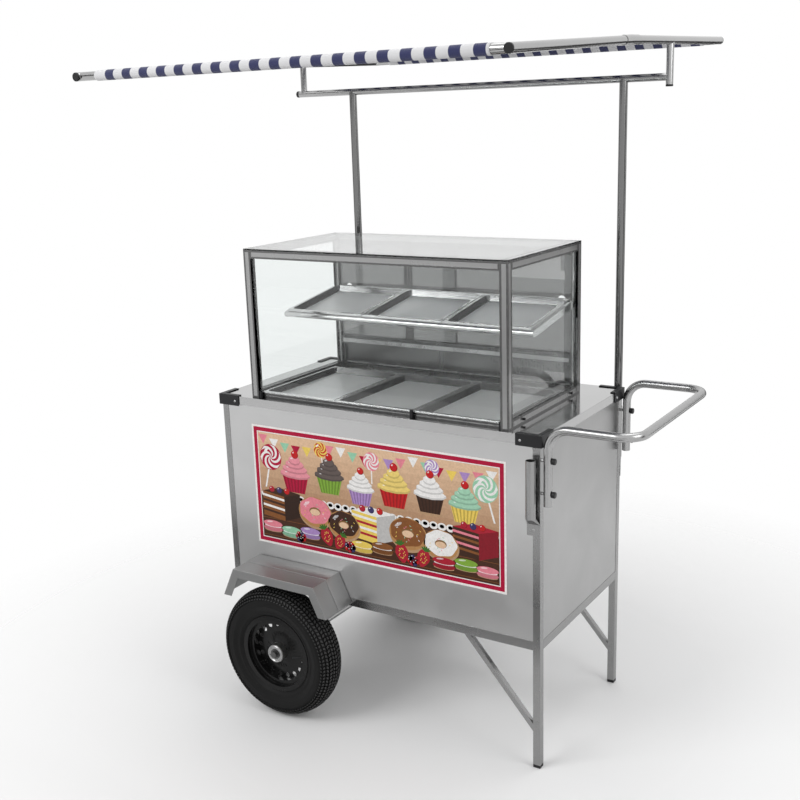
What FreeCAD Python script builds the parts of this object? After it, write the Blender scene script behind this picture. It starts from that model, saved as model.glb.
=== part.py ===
import FreeCAD, Part
import math
import os
import Sketcher
from FreeCAD import Placement, Rotation, Vector

# Dessert trolley: a stainless cabinet on two pneumatic wheels and two legs, with a push
# handle, a glazed display case with a tilted shelf of trays, and a striped canopy whose
# poles drop into sockets. Millimetres. The origin is on the floor, under the middle of the
# whole trolley. +X runs along the trolley to the push handle, +Y from the customer's side
# to the seller's side, and +Z up.

SIZES = [
    # the worktop and the cabinet under it
    ("cart_x", -580.75, "left end of the worktop, from the origin"),
    ("cart_y", -306.5, "front edge of the worktop, from the origin"),
    ("worktop_length", 1000, "worktop along the trolley"),
    ("worktop_depth", 538, "worktop, customer's edge to seller's edge"),
    ("worktop_top", 895, "worktop above the floor"),
    ("worktop_rim", 24, "height of the worktop's folded edge"),
    ("worktop_sheet", 1.2, "worktop sheet"),
    ("body_inset", 4, "cabinet posts inside the worktop's edge"),
    ("post_size", 20, "square tube of posts, legs and top rails"),
    ("tube_wall", 1.2, "wall of every square tube"),
    ("rail_bottom", 331, "underside of the bottom rails, above the floor"),
    ("rail_height", 25, "height of the bottom rails"),
    ("panel_sheet", 1, "sheet of panels and doors"),
    ("panel_recess", 1, "panels behind the face of the posts"),
    ("foot_height", 8, "plastic foot in each leg"),
    ("sill_height", 430, "underside of the rail below the cabinet doors"),
    ("door_overlap", 42, "overlap of a pair of closed sliding doors"),
    ("door_thick", 5, "folded depth of a sliding door"),
    ("finger_radius", 13, "finger hole in a sliding door"),
    ("finger_in", 32, "finger hole's centre, from the door's outer edge"),
    ("finger_up", 150, "finger hole's centre, above the door's lower edge"),
    ("track_groove", 6.2, "groove of a sliding door track"),
    ("track_wall", 1, "wall of a sliding door track"),
    ("track_low", 6, "height of a lower track"),
    ("track_high", 12, "height of an upper track"),
    ("slide_gap", 0.6, "play of a sliding door above and beside it"),
    ("rest_gap", 0.3, "clearance under a loose piece at rest"),
    ("guard_arm", 68, "arm of a corner guard"),
    ("guard_wall", 3, "wall of a corner guard"),
    ("guard_lip", 12, "width of the guard's lip over the worktop"),
    ("guard_drop", 28, "height of a corner guard below the worktop's top"),
    ("rivet_in", 55, "a guard's rivets, from the worktop's corner"),
    ("dome_radius", 4, "radius of a rivet or screw head"),
    ("dome_height", 2.5, "height of a rivet or screw head"),
    ("graphic_width", 800, "printed sheet on the front panel"),
    ("graphic_height", 352, "printed sheet on the front panel"),
    ("graphic_thick", 0.5, "printed sheet"),
    ("graphic_left", 104, "printed sheet, from the worktop's left end"),
    ("graphic_bottom", 467, "printed sheet, above the floor"),
    ("brace_size", 14, "square tube of the leg braces"),
    ("brace_low", 100, "brace's foot on the leg, above the floor"),
    ("brace_reach", 200, "brace, along the trolley"),
    # wheels
    ("wheel_x", 233, "wheel axle, from the worktop's left end"),
    ("wheel_out", 78, "wheel's middle plane outside the worktop's edge"),
    ("tyre_radius", 190, "tyre, over its lugs"),
    ("tyre_width", 90, "tyre, across its sidewalls"),
    ("tread_width", 74, "tyre, across its tread"),
    ("tyre_bulge", 150, "radius at which the tyre is widest"),
    ("carcass_radius", 179, "tyre between its lugs"),
    ("tyre_wall", 6, "rubber of the tyre's side"),
    ("bead_radius", 101.6, "tyre bead and rim seat: an 8 inch rim"),
    ("rim_width", 62, "rim, between the inner faces of its flanges"),
    ("rim_flange", 12, "height of the rim flange above the bead seat"),
    ("rim_sheet", 2.5, "pressed steel of the rim"),
    ("rim_well", 14, "depth of the rim's well below the bead seat"),
    ("rim_well_width", 40, "the rim's well, across"),
    ("weld_gap", 0.3, "gap at the welded edges of the rim's disc"),
    ("rim_dish", 10, "dish of the rim's disc"),
    ("rim_dish_radius", 56, "radius where the disc's dish begins"),
    ("rim_hole_ring", 77, "radius of the ring of holes in the rim's disc"),
    ("rim_hole", 7, "radius of one hole"),
    ("rim_hole_count", 18, "holes in the ring"),
    ("lug_count", 24, "tread lugs round one shoulder of the tyre"),
    ("lug_gap", 18, "gap between two lugs"),
    ("lug_over", 6, "reach of a lug past the tyre's middle"),
    ("hub_radius", 26, "outside of the hub"),
    ("hub_length", 64, "hub, end to end"),
    ("axle_radius", 10, "axle"),
    ("running_gap", 0.05, "radial clearance of the hub on the axle"),
    ("side_play", 0.5, "play of the hub along the axle"),
    ("valve_radius", 3.5, "valve stem"),
    ("valve_length", 32, "valve stem"),
    ("valve_lean", 35, "degrees that the valve leans outward"),
    ("valve_in", 10.5, "valve's foot, out from the rim's middle plane"),
    ("axle_washer", 14.5, "radius of the washers and collars on the axle"),
    ("washer_thick", 2.5, "washer on the axle's end"),
    ("axle_head", 7, "height of the axle's bolt head"),
    ("collar_length", 8, "collar behind each hub"),
    ("hanger_width", 30, "flat bar that carries the axle"),
    ("fender_top", 425, "top of the fender, above the floor"),
    ("fender_depth", 124, "fender, out from the cabinet"),
    ("fender_flat", 278, "flat top of the fender"),
    ("fender_run", 40, "each flap's reach along the trolley"),
    ("fender_drop", 85, "each flap's drop"),
    ("fender_lip", 25, "width of the fender's folded front lip"),
    ("fender_sheet", 1.5, "fender sheet"),
    ("fender_middle", 12, "fender's middle past the axle, along the trolley"),
    # push handle
    ("handle_radius", 11, "handle tube"),
    ("handle_wall", 1.5, "wall of the handle tube"),
    ("handle_off", 14.3, "handle tube's centre outside the worktop's end"),
    ("handle_reach", 237, "grip's centre outside the worktop's end"),
    ("handle_inset", 9, "handle tube's centre inside the worktop's long edges"),
    ("handle_low", 720, "lower end of the handle tube"),
    ("handle_high", 916, "centre of the grip, above the floor"),
    ("handle_bend", 55, "bend radius of the handle tube"),
    ("handle_bolt_low", 751, "lower handle bolt, above the floor"),
    ("handle_bolt_high", 835, "upper handle bolt, above the floor"),
    ("bolt_radius", 4, "handle bolt"),
    ("knob_radius", 8, "nut cover on a handle bolt"),
    ("knob_height", 9, "nut cover on a handle bolt"),
    # display case
    ("case_x", 109, "case, from the worktop's left end"),
    ("case_y", 11, "case, from the worktop's front edge"),
    ("case_end", 91, "case, from the worktop's right end"),
    ("case_depth", 437, "case, front to back"),
    ("case_height", 416, "case, with its top glass"),
    ("profile", 22, "square profile of the case"),
    ("glass", 4, "thickness of the panes"),
    ("glass_offset", 5, "panes behind the profile's outer face"),
    ("glass_seat", 6, "depth of a pane in its groove"),
    ("glass_gap", 0.4, "clearance round a pane in its groove"),
    ("mid_rail", 975, "underside of the rail below the case doors"),
    ("tray_rim", 6, "height of a tray's rim"),
    ("tray_drop", 12, "depth of a tray below its rim"),
    ("tray_flange", 14, "width of a tray's flat rim"),
    ("tray_slope", 24, "run of a tray's sloping wall"),
    ("tray_sheet", 1, "sheet of a tray"),
    ("tray_gap", 1.5, "gap between two trays"),
    ("tray_corner", 16, "corner radius of a tray's bowl"),
    ("tray_side", 4.5, "gap between the outer lower trays and the case's posts"),
    ("base_tray_y", 12, "lower trays behind the case's front face"),
    ("base_tray_back", 75, "lower trays before the case's rear face"),
    ("shelf_tray_side", 5, "gap between the outer upper trays and the shelf's arms"),
    ("shelf_tray_depth", 250, "upper tray, front to back"),
    ("shelf_angle", 8.7, "degrees that the shelf tilts to the customer"),
    ("shelf_top", 1152.5, "plane on which the upper trays' rims rest, at their rear edge"),
    ("shelf_back", 9, "shelf trays' rear edge before the back posts"),
    ("shelf_rail", 8, "radius of the shelf's front rail"),
    ("shelf_arm", 18, "height of the shelf's side arms"),
    ("shelf_arm_thick", 4, "thickness of the shelf's side arms"),
    ("shelf_rear_rail", 12, "square rear rail of the shelf"),
    ("tray_rest", 8, "width of the rail under a lower tray's rim"),
    ("shelf_side", 1, "gap between the shelf's frame and the side panes"),
    ("clip_width", 7, "rubber clip under the front glass, along the trolley"),
    ("clip_wall", 2, "wall of a clip in front of the glass and behind it"),
    ("clip_grip", 4, "height of the glass inside a clip"),
    ("clip_foot", 16, "lower edge of the front glass above the worktop"),
    ("clip_middle", 519, "middle clip, from the case's left end"),
    ("stud_radius", 3.5, "rubber stud on the base rail"),
    ("stud_height", 5, "rubber stud on the base rail"),
    ("stud_front", 82, "front studs behind the case's front face"),
    ("stud_back", 374, "rear studs behind the case's front face"),
    # canopy
    ("right_pole_x", 979, "right poles, from the worktop's left end"),
    ("left_pole_x", 121, "left pole, from the worktop's left end"),
    ("pole_pass", 0.6, "gap between a pole and the corner guard"),
    ("socket_radius", 12.7, "pole socket tube"),
    ("socket_wall", 1.2, "wall of the pole sockets"),
    ("socket_top", 838, "mouth of a pole socket, above the floor"),
    ("socket_length", 148, "round part of a pole socket"),
    ("socket_tab", 50, "flattened lower end of a pole socket"),
    ("socket_seat", 12, "depth of the plug that the pole stands on"),
    ("screw_down", 35, "socket's screw, below the round part of the socket"),
    ("screw_over", 24, "spare screw, above the mouth of the empty socket"),
    ("socket_flat", 36, "width of the flattened end"),
    ("socket_taper", 20, "height over which the socket flattens"),
    ("socket_spacer", 12, "width and height of the block that holds the socket off the post"),
    ("pole_radius", 11.1, "canopy pole"),
    ("bar_radius", 9.5, "cross bar and uprights"),
    ("canopy_wall", 1.2, "wall of the canopy's tubes"),
    ("bar_drop", 79, "centre of the cross bar, below the joint of the arms"),
    ("bar_joint_x", 545, "joint of the cross bar, from the worktop's left end"),
    ("bar_overhang", 16, "cross bar's left end past its upright"),
    ("arm_radius", 10.5, "arms and cross tubes of the canopy frame"),
    ("canopy_left", -61, "left arm, from the worktop's left end"),
    ("canopy_width", 1163, "between the centres of the arms"),
    ("canopy_front_y", -655, "front cross tube, from the origin"),
    ("canopy_rear_y", 655, "rear cross tube, from the origin"),
    ("canopy_joint_y", -36, "joint of the arms, from the origin"),
    ("canopy_fall", 39, "front cross tube, below the joint of the arms"),
    ("canopy_joint_z", 1801, "joint of the arms, above the floor"),
    ("canopy_rise", 25, "rear cross tube, above the joint of the arms"),
    ("arm_overhang", 12, "arm past the cross tube"),
    ("arm_sleeve", 45, "half length of the sleeve that joins two half arms"),
    ("cap_length", 5, "plastic cap on a tube's end"),
    ("cloth_gap", 0.3, "canvas outside the cross tubes"),
    ("cloth_thick", 1.2, "canvas"),
    ("cloth_inset", 59, "canvas inside the centre of the left arm"),
    ("cloth_right", 43, "canvas inside the centre of the right arm"),
]

doc = FreeCAD.newDocument("dessert_trolley")
sheet = doc.addObject("Spreadsheet::Sheet", "Size")
for row, (alias, number, note) in enumerate(SIZES, start=1):
    sheet.set("A%d" % row, note)
    sheet.set("B%d" % row, str(number))
    sheet.setAlias("B%d" % row, alias)
doc.recompute()


class Dim(float):
    """A number that also knows how it is worked out from the sheet's cells."""

    def __new__(cls, number, text=None):
        made = super().__new__(cls, number)
        made.text = text or "%r" % float(number)
        return made

    def joined(self, other, sign, number):
        return Dim(number, "(%s %s %s)" % (self.text, sign, dim(other).text))

    def __add__(self, other):
        return self.joined(other, "+", float(self) + float(other))

    def __radd__(self, other):
        return dim(other) + self

    def __sub__(self, other):
        return self.joined(other, "-", float(self) - float(other))

    def __rsub__(self, other):
        return dim(other) - self

    def __mul__(self, other):
        return self.joined(other, "*", float(self) * float(other))

    def __rmul__(self, other):
        return dim(other) * self

    def __truediv__(self, other):
        return self.joined(other, "/", float(self) / float(other))

    def __neg__(self):
        return dim(0) - self


def dim(number):
    return number if isinstance(number, Dim) else Dim(number)


def root(number):
    return Dim(math.sqrt(number), "sqrt(%s)" % number.text)


class Sheet:
    """Each cell of the sheet as a Dim, by its alias."""


s = Sheet()
for alias, number, note in SIZES:
    setattr(s, alias, Dim(sheet.get(alias), "Size." + alias))

# ---------------------------------------------------------------- helpers

ALONG_X = Rotation(Vector(0, 1, 0), 90)
ALONG_Y = Rotation(Vector(1, 0, 0), -90)
ALONG_Z = Rotation()
FACE_LEFT = Rotation(Vector(0, 1, 0), -90)
FACE_FRONT = Rotation(Vector(1, 0, 0), 90)
HALF_TURN = Rotation(Vector(0, 0, 1), 180)
nodes = []


def node(label, made):
    """Registers a finished sub-part under the name of its file."""
    made.Label = label
    nodes.append(made)
    return made


def put(made, x, y, z, turn=ALONG_Z):
    made.Placement = Placement(Vector(x, y, z), turn)
    for axis, place in zip("xyz", (x, y, z)):
        made.setExpression("Placement.Base." + axis, dim(place).text)
    return made


def box(name, low, size):
    made = doc.addObject("Part::Box", name)
    for prop, length in zip(("Length", "Width", "Height"), size):
        made.setExpression(prop, dim(length).text)
    return put(made, *low)


def rod(name, low, radius, length, turn=ALONG_Z):
    made = doc.addObject("Part::Cylinder", name)
    made.setExpression("Radius", dim(radius).text)
    made.setExpression("Height", dim(length).text)
    return put(made, *low, turn)


def cut(name, base, tool):
    made = doc.addObject("Part::Cut", name)
    made.Base = base
    made.Tool = tool
    return made


def fuse(name, *shapes):
    made = doc.addObject("Part::MultiFuse", name)
    made.Shapes = list(shapes)
    return made


def group(name, *solids):
    made = doc.addObject("Part::Compound", name)
    made.Links = list(solids)
    return made


def square_tube(name, low, size, wall, along):
    """A rectangular tube, open at both ends along axis 0, 1 or 2."""
    inner_low = [low[i] if i == along else low[i] + wall for i in range(3)]
    inner_size = [size[i] if i == along else size[i] - 2 * wall for i in range(3)]
    return cut(name, box(name + "_outside", low, size), box(name + "_inside", inner_low, inner_size))


def round_tube(name, low, radius, wall, length, turn=ALONG_Z):
    outside = rod(name + "_outside", low, radius, length, turn)
    return cut(name, outside, rod(name + "_inside", low, radius - wall, length, turn))


def shape_node(label, shape, place=None):
    made = doc.addObject("Part::Feature", label)
    made.Shape = shape
    if place is not None:
        made.Placement = place
    return node(label, made)


def body(name):
    return doc.addObject("PartDesign::Body", name)


def plane(owner, role):
    return next(f for f in owner.Origin.OriginFeatures if f.Role == role)


def sketch_arc(start, end, radius, side):
    """The short arc from start to end that bulges to the left (side 1) or right (-1), always
    stored counter-clockwise."""
    chord = end - start
    half = chord.Length / 2
    square = Vector(-chord.y, chord.x, 0).normalize()
    centre = (start + end) / 2 - square * (side * math.sqrt(max(radius * radius - half * half, 0)))
    angles = [math.atan2(spot.y - centre.y, spot.x - centre.x) for spot in (start, end)]
    first, last = angles if side < 0 else reversed(angles)
    if last < first:
        last += 2 * math.pi
    return Part.ArcOfCircle(Part.Circle(centre, Vector(0, 0, 1), radius), first, last)


def outline(owner, role, name, corners, level=None):
    """A closed, fully dimensioned sketch, at a level off its plane. A corner is (u, v), or
    (u, v, radius, side) where the edge that ends there is an arc."""
    sketch = owner.newObject("Sketcher::SketchObject", name)
    sketch.AttachmentSupport = [(plane(owner, role), "")]
    sketch.MapMode = "FlatFace"
    if level is not None:
        sketch.AttachmentOffset = Placement(Vector(0, 0, level), Rotation())
        sketch.setExpression("AttachmentOffset.Base.z", level.text)
    count = len(corners)
    spots = [Vector(c[0], c[1], 0) for c in corners]
    for i, corner in enumerate(corners):
        start = spots[i - 1]
        if len(corner) == 4:
            sketch.addGeometry(sketch_arc(start, spots[i], corner[2], corner[3]))
        else:
            sketch.addGeometry(Part.LineSegment(start, spots[i]))
    # an arc that bulges to the left is stored from its end to its start
    ends = [(2, 1) if len(corner) == 4 and corner[3] > 0 else (1, 2) for corner in corners]
    for i in range(count):
        after = (i + 1) % count
        link = Sketcher.Constraint("Coincident", i, ends[i][1], after, ends[after][0])
        sketch.addConstraint(link)
    for i, corner in enumerate(corners):
        for kind, place in (("DistanceX", corner[0]), ("DistanceY", corner[1])):
            number = sketch.addConstraint(Sketcher.Constraint(kind, -1, 1, i, ends[i][1], float(place)))
            sketch.setExpression("Constraints[%d]" % number, dim(place).text)
        if len(corner) == 4:
            number = sketch.addConstraint(Sketcher.Constraint("Radius", i, float(corner[2])))
            sketch.setExpression("Constraints[%d]" % number, dim(corner[2]).text)
    return sketch


def circle(owner, role, name, u, v, radius):
    sketch = owner.newObject("Sketcher::SketchObject", name)
    sketch.AttachmentSupport = [(plane(owner, role), "")]
    sketch.MapMode = "FlatFace"
    sketch.addGeometry(Part.Circle(Vector(u, v, 0), Vector(0, 0, 1), radius))
    for kind, place in (("DistanceX", u), ("DistanceY", v)):
        number = sketch.addConstraint(Sketcher.Constraint(kind, -1, 1, 0, 3, float(place)))
        sketch.setExpression("Constraints[%d]" % number, dim(place).text)
    number = sketch.addConstraint(Sketcher.Constraint("Radius", 0, float(radius)))
    sketch.setExpression("Constraints[%d]" % number, dim(radius).text)
    return sketch


def pad(owner, sketch, length, back=False):
    made = owner.newObject("PartDesign::Pad", sketch.Name + "_pad")
    made.Profile = sketch
    made.setExpression("Length", dim(length).text)
    made.Reversed = back
    return made


def pocket(owner, sketch, depth, back=False, both=False):
    made = owner.newObject("PartDesign::Pocket", sketch.Name + "_pocket")
    made.Profile = sketch
    made.setExpression("Length", dim(depth).text)
    made.Reversed = back
    made.Midplane = both
    return made


def revolve(owner, sketch):
    made = owner.newObject("PartDesign::Revolution", sketch.Name + "_turned")
    made.Profile = sketch
    made.ReferenceAxis = (sketch, ["V_Axis"])
    made.Angle = 360
    return made


def around(owner, feature, role, count):
    """Repeats a feature in a full circle about the body's own axis."""
    made = owner.newObject("PartDesign::PolarPattern", feature.Name + "_round")
    made.Originals = [feature]
    made.Axis = (plane(owner, role), [""])
    made.Angle = 360
    made.setExpression("Occurrences", count.text)
    owner.Tip = made
    return made


def bent_rod(points, bend, radius):
    """A round rod through corner points, with every corner turned at one bend radius."""
    spots = [Vector(*p) for p in points]
    pieces = []
    start = spots[0]
    for before, corner, after in zip(spots, spots[1:], spots[2:]):
        into = (corner - before).normalize()
        out = (after - corner).normalize()
        first = corner - into * bend
        pieces.append(Part.makeCylinder(radius, (first - start).Length, start, into))
        ring = Part.Face(Part.Wire([Part.Circle(first, into, radius).toShape()]))
        pieces.append(ring.revolve(first + out * bend, into.cross(out), 90))
        start = corner + out * bend
    last = spots[-1] - start
    pieces.append(Part.makeCylinder(radius, last.Length, start, last))
    return pieces[0].fuse(pieces[1:]).removeSplitter()


def frustum(low_loop, low_z, high_loop, high_z):
    """A flat-faced solid between two loops of as many corners, one above the other."""
    low = [Vector(x, y, low_z) for x, y in low_loop]
    high = [Vector(x, y, high_z) for x, y in high_loop]
    faces = [Part.Face(Part.makePolygon(loop + loop[:1])) for loop in (low, high)]
    for i in range(len(low)):
        side = [low[i - 1], low[i], high[i], high[i - 1]]
        faces.append(Part.Face(Part.makePolygon(side + side[:1])))
    return Part.Solid(Part.Shell(faces))


# ---------------------------------------------------------------- shared places

left = s.cart_x
right = s.cart_x + s.worktop_length
front = s.cart_y
back = s.cart_y + s.worktop_depth
body_left = left + s.body_inset
body_right = right - s.body_inset
body_front = front + s.body_inset
body_back = back - s.body_inset
under_top = s.worktop_top - s.worktop_sheet
rail_top = s.rail_bottom + s.rail_height
top_rail = under_top - s.post_size
inner_left = body_left + s.post_size
inner_right = body_right - s.post_size
inner_front = body_front + s.post_size
inner_back = body_back - s.post_size
inner_length = inner_right - inner_left
inner_depth = inner_back - inner_front
sill_top = s.sill_height + s.post_size
stile_left = left + s.left_pole_x - s.post_size / 2
stile_right = stile_left + s.post_size
pole_out = s.guard_wall + s.pole_radius + s.pole_pass
axle_x = left + s.wheel_x
axle_z = s.tyre_radius
axle_reach = s.wheel_out + s.hub_length / 2 + s.side_play
handle_x = right + s.handle_off
handle_front = front + s.handle_inset
handle_back = back - s.handle_inset
case_left = left + s.case_x
case_right = right - s.case_end
case_length = case_right - case_left
case_front = front + s.case_y
case_back = case_front + s.case_depth
case_top = s.worktop_top + s.case_height - s.glass
case_inner_left = case_left + s.profile
case_inner_right = case_right - s.profile
case_inner_front = case_front + s.profile
case_inner_back = case_back - s.profile
case_inner_length = case_inner_right - case_inner_left
case_inner_depth = case_inner_back - case_inner_front
case_middle = (case_left + case_right) / 2
base_tray_width = (case_inner_length - 2 * (s.tray_side + s.tray_gap)) / 3
base_tray_depth = s.case_depth - s.base_tray_y - s.base_tray_back
track_width = 3 * s.track_wall + 2 * s.track_groove

# ---------------------------------------------------------------- cabinet


def handle_bolt_spots():
    """Where the handle's bolts run along X: their y and z."""
    spots = []
    for y in (handle_front, handle_back):
        spots += [(y, s.handle_bolt_low), (y, s.handle_bolt_high)]
    return spots


def corner_posts():
    """Two short posts over the wheels, two long ones that are the legs, and a stile
    behind which the left pole stands."""
    spots = [
        ("post_front", body_left, body_front, s.rail_bottom, under_top),
        ("post_back", body_left, inner_back, s.rail_bottom, under_top),
        ("leg_front", inner_right, body_front, s.foot_height, under_top),
        ("leg_back", inner_right, inner_back, s.foot_height, under_top),
        ("stile", stile_left, inner_back, sill_top, top_rail),
    ]
    posts = []
    for name, x, y, low, high in spots:
        size = (s.post_size, s.post_size, high - low)
        posts.append(square_tube(name, (x, y, low), size, s.tube_wall, 2))
    node("corner_posts", group("posts", *posts))


def leg_feet():
    """Plastic plugs that the two legs stand on."""
    plug = s.post_size - 2 * s.tube_wall
    feet = []
    for name, y in (("foot_front", body_front), ("foot_back", inner_back)):
        sole = box(name + "_sole", (inner_right, y, dim(0)), (s.post_size, s.post_size, s.foot_height))
        low = (inner_right + s.tube_wall, y + s.tube_wall, s.foot_height)
        feet.append(fuse(name, sole, box(name + "_plug", low, (plug, plug, s.post_size))))
    node("leg_feet", group("feet", *feet))


def cabinet_rails():
    """The rails between the posts: bottom, top, and the sill under the doors."""
    rails = []
    wide = s.post_size
    wall = s.tube_wall
    for level, low, high in (("bottom", s.rail_bottom, s.rail_height), ("top", top_rail, wide)):
        for side, y in (("front", body_front), ("back", inner_back)):
            spot = (inner_left, y, low)
            size = (inner_length, wide, high)
            rails.append(square_tube("%s_rail_%s" % (level, side), spot, size, wall, 0))
        for side, x in (("left", body_left), ("right", inner_right)):
            spot = (x, inner_front, low)
            size = (wide, inner_depth, high)
            rails.append(square_tube("%s_rail_%s" % (level, side), spot, size, wall, 1))
    spot = (inner_left, inner_back, s.sill_height)
    rails.append(square_tube("sill", spot, (inner_length, wide, wide), wall, 0))
    node("cabinet_rails", group("rails", *rails))


def cabinet_panels():
    """Sheets that close the cabinet between its posts and rails."""
    thick = s.panel_sheet
    high = top_rail - rail_top
    low = (inner_left, body_front + s.panel_recess, rail_top)
    node("front_panel", box("front_sheet", low, (inner_length, thick, high)))
    y = body_back - s.panel_recess - thick
    sheets = [
        box("low_sheet", (inner_left, y, rail_top), (inner_length, thick, s.sill_height - rail_top)),
        box("stile_sheet", (inner_left, y, sill_top), (stile_left - inner_left, thick, top_rail - sill_top)),
    ]
    node("back_panel", group("back_sheets", *sheets))
    size = (thick, inner_depth, high)
    sheets = [
        box("left_sheet", (body_left + s.panel_recess, inner_front, rail_top), size),
        box("right_sheet", (body_right - s.panel_recess - thick, inner_front, rail_top), size),
    ]
    node("side_panels", group("side_sheets", *sheets))
    low = (inner_left, inner_front, rail_top - thick)
    node("floor_panel", box("floor_sheet", low, (inner_length, inner_depth, thick)))


def brace_side(inset):
    """The side view of a brace, its two long edges moved inward."""
    rise = s.rail_bottom - s.brace_low
    slant = root(rise * rise + s.brace_reach * s.brace_reach)
    up = slant / s.brace_reach
    over = slant / rise
    foot = inner_right - s.brace_reach
    return [
        (inner_right, s.brace_low + up * inset),
        (inner_right, s.brace_low + up * (s.brace_size - inset)),
        (foot + over * (s.brace_size - inset), s.rail_bottom),
        (foot + over * inset, s.rail_bottom),
    ]


def braces():
    """A square tube from each leg up to the bottom rail, cut flat against both."""
    bars = []
    for side, y in (("front", body_front + s.post_size / 2), ("back", inner_back + s.post_size / 2)):
        bar = body("brace_" + side)
        made = pad(bar, outline(bar, "XZ_Plane", "brace_side_" + side, brace_side(dim(0))), s.brace_size)
        made.Midplane = True
        bore = outline(bar, "XZ_Plane", "brace_bore_" + side, brace_side(s.tube_wall))
        pocket(bar, bore, s.brace_size - 2 * s.tube_wall, both=True)
        bars.append(put(bar, dim(0), y, dim(0)))
    node("braces", group("brace_pair", *bars))


def rectangle(low_u, low_v, high_u, high_v):
    return [(low_u, low_v), (high_u, low_v), (high_u, high_v), (low_u, high_v)]


def worktop():
    """A folded stainless tray, upside down over the posts."""
    top = body("worktop_body")
    wall = s.worktop_sheet
    pad(top, outline(top, "XY_Plane", "worktop_outside", rectangle(left, front, right, back)), s.worktop_rim)
    corners = rectangle(left + wall, front + wall, right - wall, back - wall)
    pocket(top, outline(top, "XY_Plane", "worktop_inside", corners), s.worktop_rim - wall, back=True)
    node("worktop", put(top, dim(0), dim(0), s.worktop_top - s.worktop_rim))


def corner_guards():
    """Plastic angles round the worktop's corners, with a lip on top."""
    wall = s.guard_wall
    lip = s.guard_lip
    low = s.worktop_top - s.guard_drop
    guards = []
    for end in ("left", "right"):
        edge_x = left if end == "left" else right - s.guard_arm
        block_x = left - wall if end == "left" else edge_x
        open_x = left + lip if end == "left" else edge_x
        for side in ("front", "back"):
            edge_y = front if side == "front" else back - s.guard_arm
            block_y = front - wall if side == "front" else edge_y
            open_y = front + lip if side == "front" else edge_y
            name = "guard_%s_%s" % (end, side)
            size = (s.guard_arm + wall, s.guard_arm + wall, s.guard_drop + wall)
            block = box(name + "_block", (block_x, block_y, low), size)
            under = box(name + "_under", (edge_x, edge_y, low), (s.guard_arm, s.guard_arm, s.guard_drop))
            size = (s.guard_arm - lip, s.guard_arm - lip, s.guard_drop + wall)
            over = box(name + "_over", (open_x, open_y, low), size)
            guards.append(cut(name, block, fuse(name + "_hollow", under, over)))
    node("corner_guards", group("guards", *guards))


def dome(name, place, way):
    """A low head that stands on a face, pointing along way."""
    head = doc.addObject("Part::Prism", name)
    head.Polygon = 8
    head.setExpression("Circumradius", s.dome_radius.text)
    head.setExpression("Height", s.dome_height.text)
    return put(head, *place, Rotation(Vector(0, 0, 1), Vector(*way)))


def socket_spots():
    """Where each pole socket stands: its name, x, the post's face and the way out."""
    return [
        ("front_right", left + s.right_pole_x, body_front, -1),
        ("back_right", left + s.right_pole_x, body_back, 1),
        ("back_left", left + s.left_pole_x, body_back, 1),
    ]


def dome_screws():
    """Rivets in the corner guards, a screw in each pole socket, and one above the empty socket."""
    heads = []
    level = s.worktop_top - s.guard_drop / 2
    middle = s.rivet_in
    for end, face_x, rivet_x, way_x in (
        ("left", left - s.guard_wall, left + middle, -1),
        ("right", right + s.guard_wall, right - middle, 1),
    ):
        for side, face_y, rivet_y, way_y in (
            ("front", front - s.guard_wall, front + middle, -1),
            ("back", back + s.guard_wall, back - middle, 1),
        ):
            name = "rivet_%s_%s" % (end, side)
            heads.append(dome(name + "_long", (rivet_x, face_y, level), (0, way_y, 0)))
            heads.append(dome(name + "_short", (face_x, rivet_y, level), (way_x, 0, 0)))
    tab_middle = s.socket_top - s.socket_length - s.screw_down
    for name, x, face, way in socket_spots():
        spot = (x, face + way * 2 * s.socket_wall, tab_middle)
        heads.append(dome("screw_" + name, spot, (0, way, 0)))
    spot = (left + s.right_pole_x, body_front, s.socket_top + s.screw_over)
    heads.append(dome("screw_over_socket", spot, (0, -1, 0)))
    node("dome_screws", group("domes", *heads))


def flattening(x, low_y, high_y, low_z, axis_y, ring, high_z, half):
    """The flat-sided neck between a socket's round tube and its flattened end."""
    flat = rectangle(x - half, low_y, x + half, high_y)
    square = rectangle(x - ring, axis_y - ring, x + ring, axis_y + ring)
    return frustum(flat, low_z, square, high_z)


def pole_sockets():
    """Round tubes for the canopy's poles, each flattened at its lower end for a screw."""
    sockets = []
    low = s.socket_top - s.socket_length
    neck = low - s.socket_taper
    half = s.socket_flat / 2
    thick = 2 * s.socket_wall
    for name, x, face, way in socket_spots():
        axis_y = (back if way > 0 else front) + way * pole_out
        middle = Vector(x, axis_y, low)
        sleeve = Part.makeCylinder(s.socket_radius, s.socket_length, middle)
        ring = s.socket_radius * math.sqrt(0.5)
        near = min(face, face + way * thick)
        taper = flattening(x, near, near + thick, neck, axis_y, ring, low, half)
        tab_low = low - s.socket_tab
        tab = Part.makeBox(s.socket_flat, thick, neck - tab_low, Vector(x - half, near, tab_low))
        wide = s.socket_spacer
        reach = abs(axis_y - face)
        block_y = face if way > 0 else face - reach
        block_z = s.socket_top - 3 * wide
        block = Part.makeBox(wide, reach, wide, Vector(x - wide / 2, block_y, block_z))
        bore_low = low + s.socket_seat
        inside = s.socket_radius - s.socket_wall
        bore = Part.makeCylinder(inside, s.socket_top - bore_low, Vector(x, axis_y, bore_low))
        sockets.append(sleeve.fuse([taper, tab, block]).cut(bore).removeSplitter())
    shape_node("pole_sockets", Part.makeCompound(sockets))


def graphic_sheet():
    """A printed sheet stuck to the front panel."""
    face = body_front + s.panel_recess
    low = (left + s.graphic_left, face - s.graphic_thick, s.graphic_bottom)
    size = (s.graphic_width, s.graphic_thick, s.graphic_height)
    node("graphic_sheet", box("graphic_print", low, size))


# ---------------------------------------------------------------- sliding doors


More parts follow.
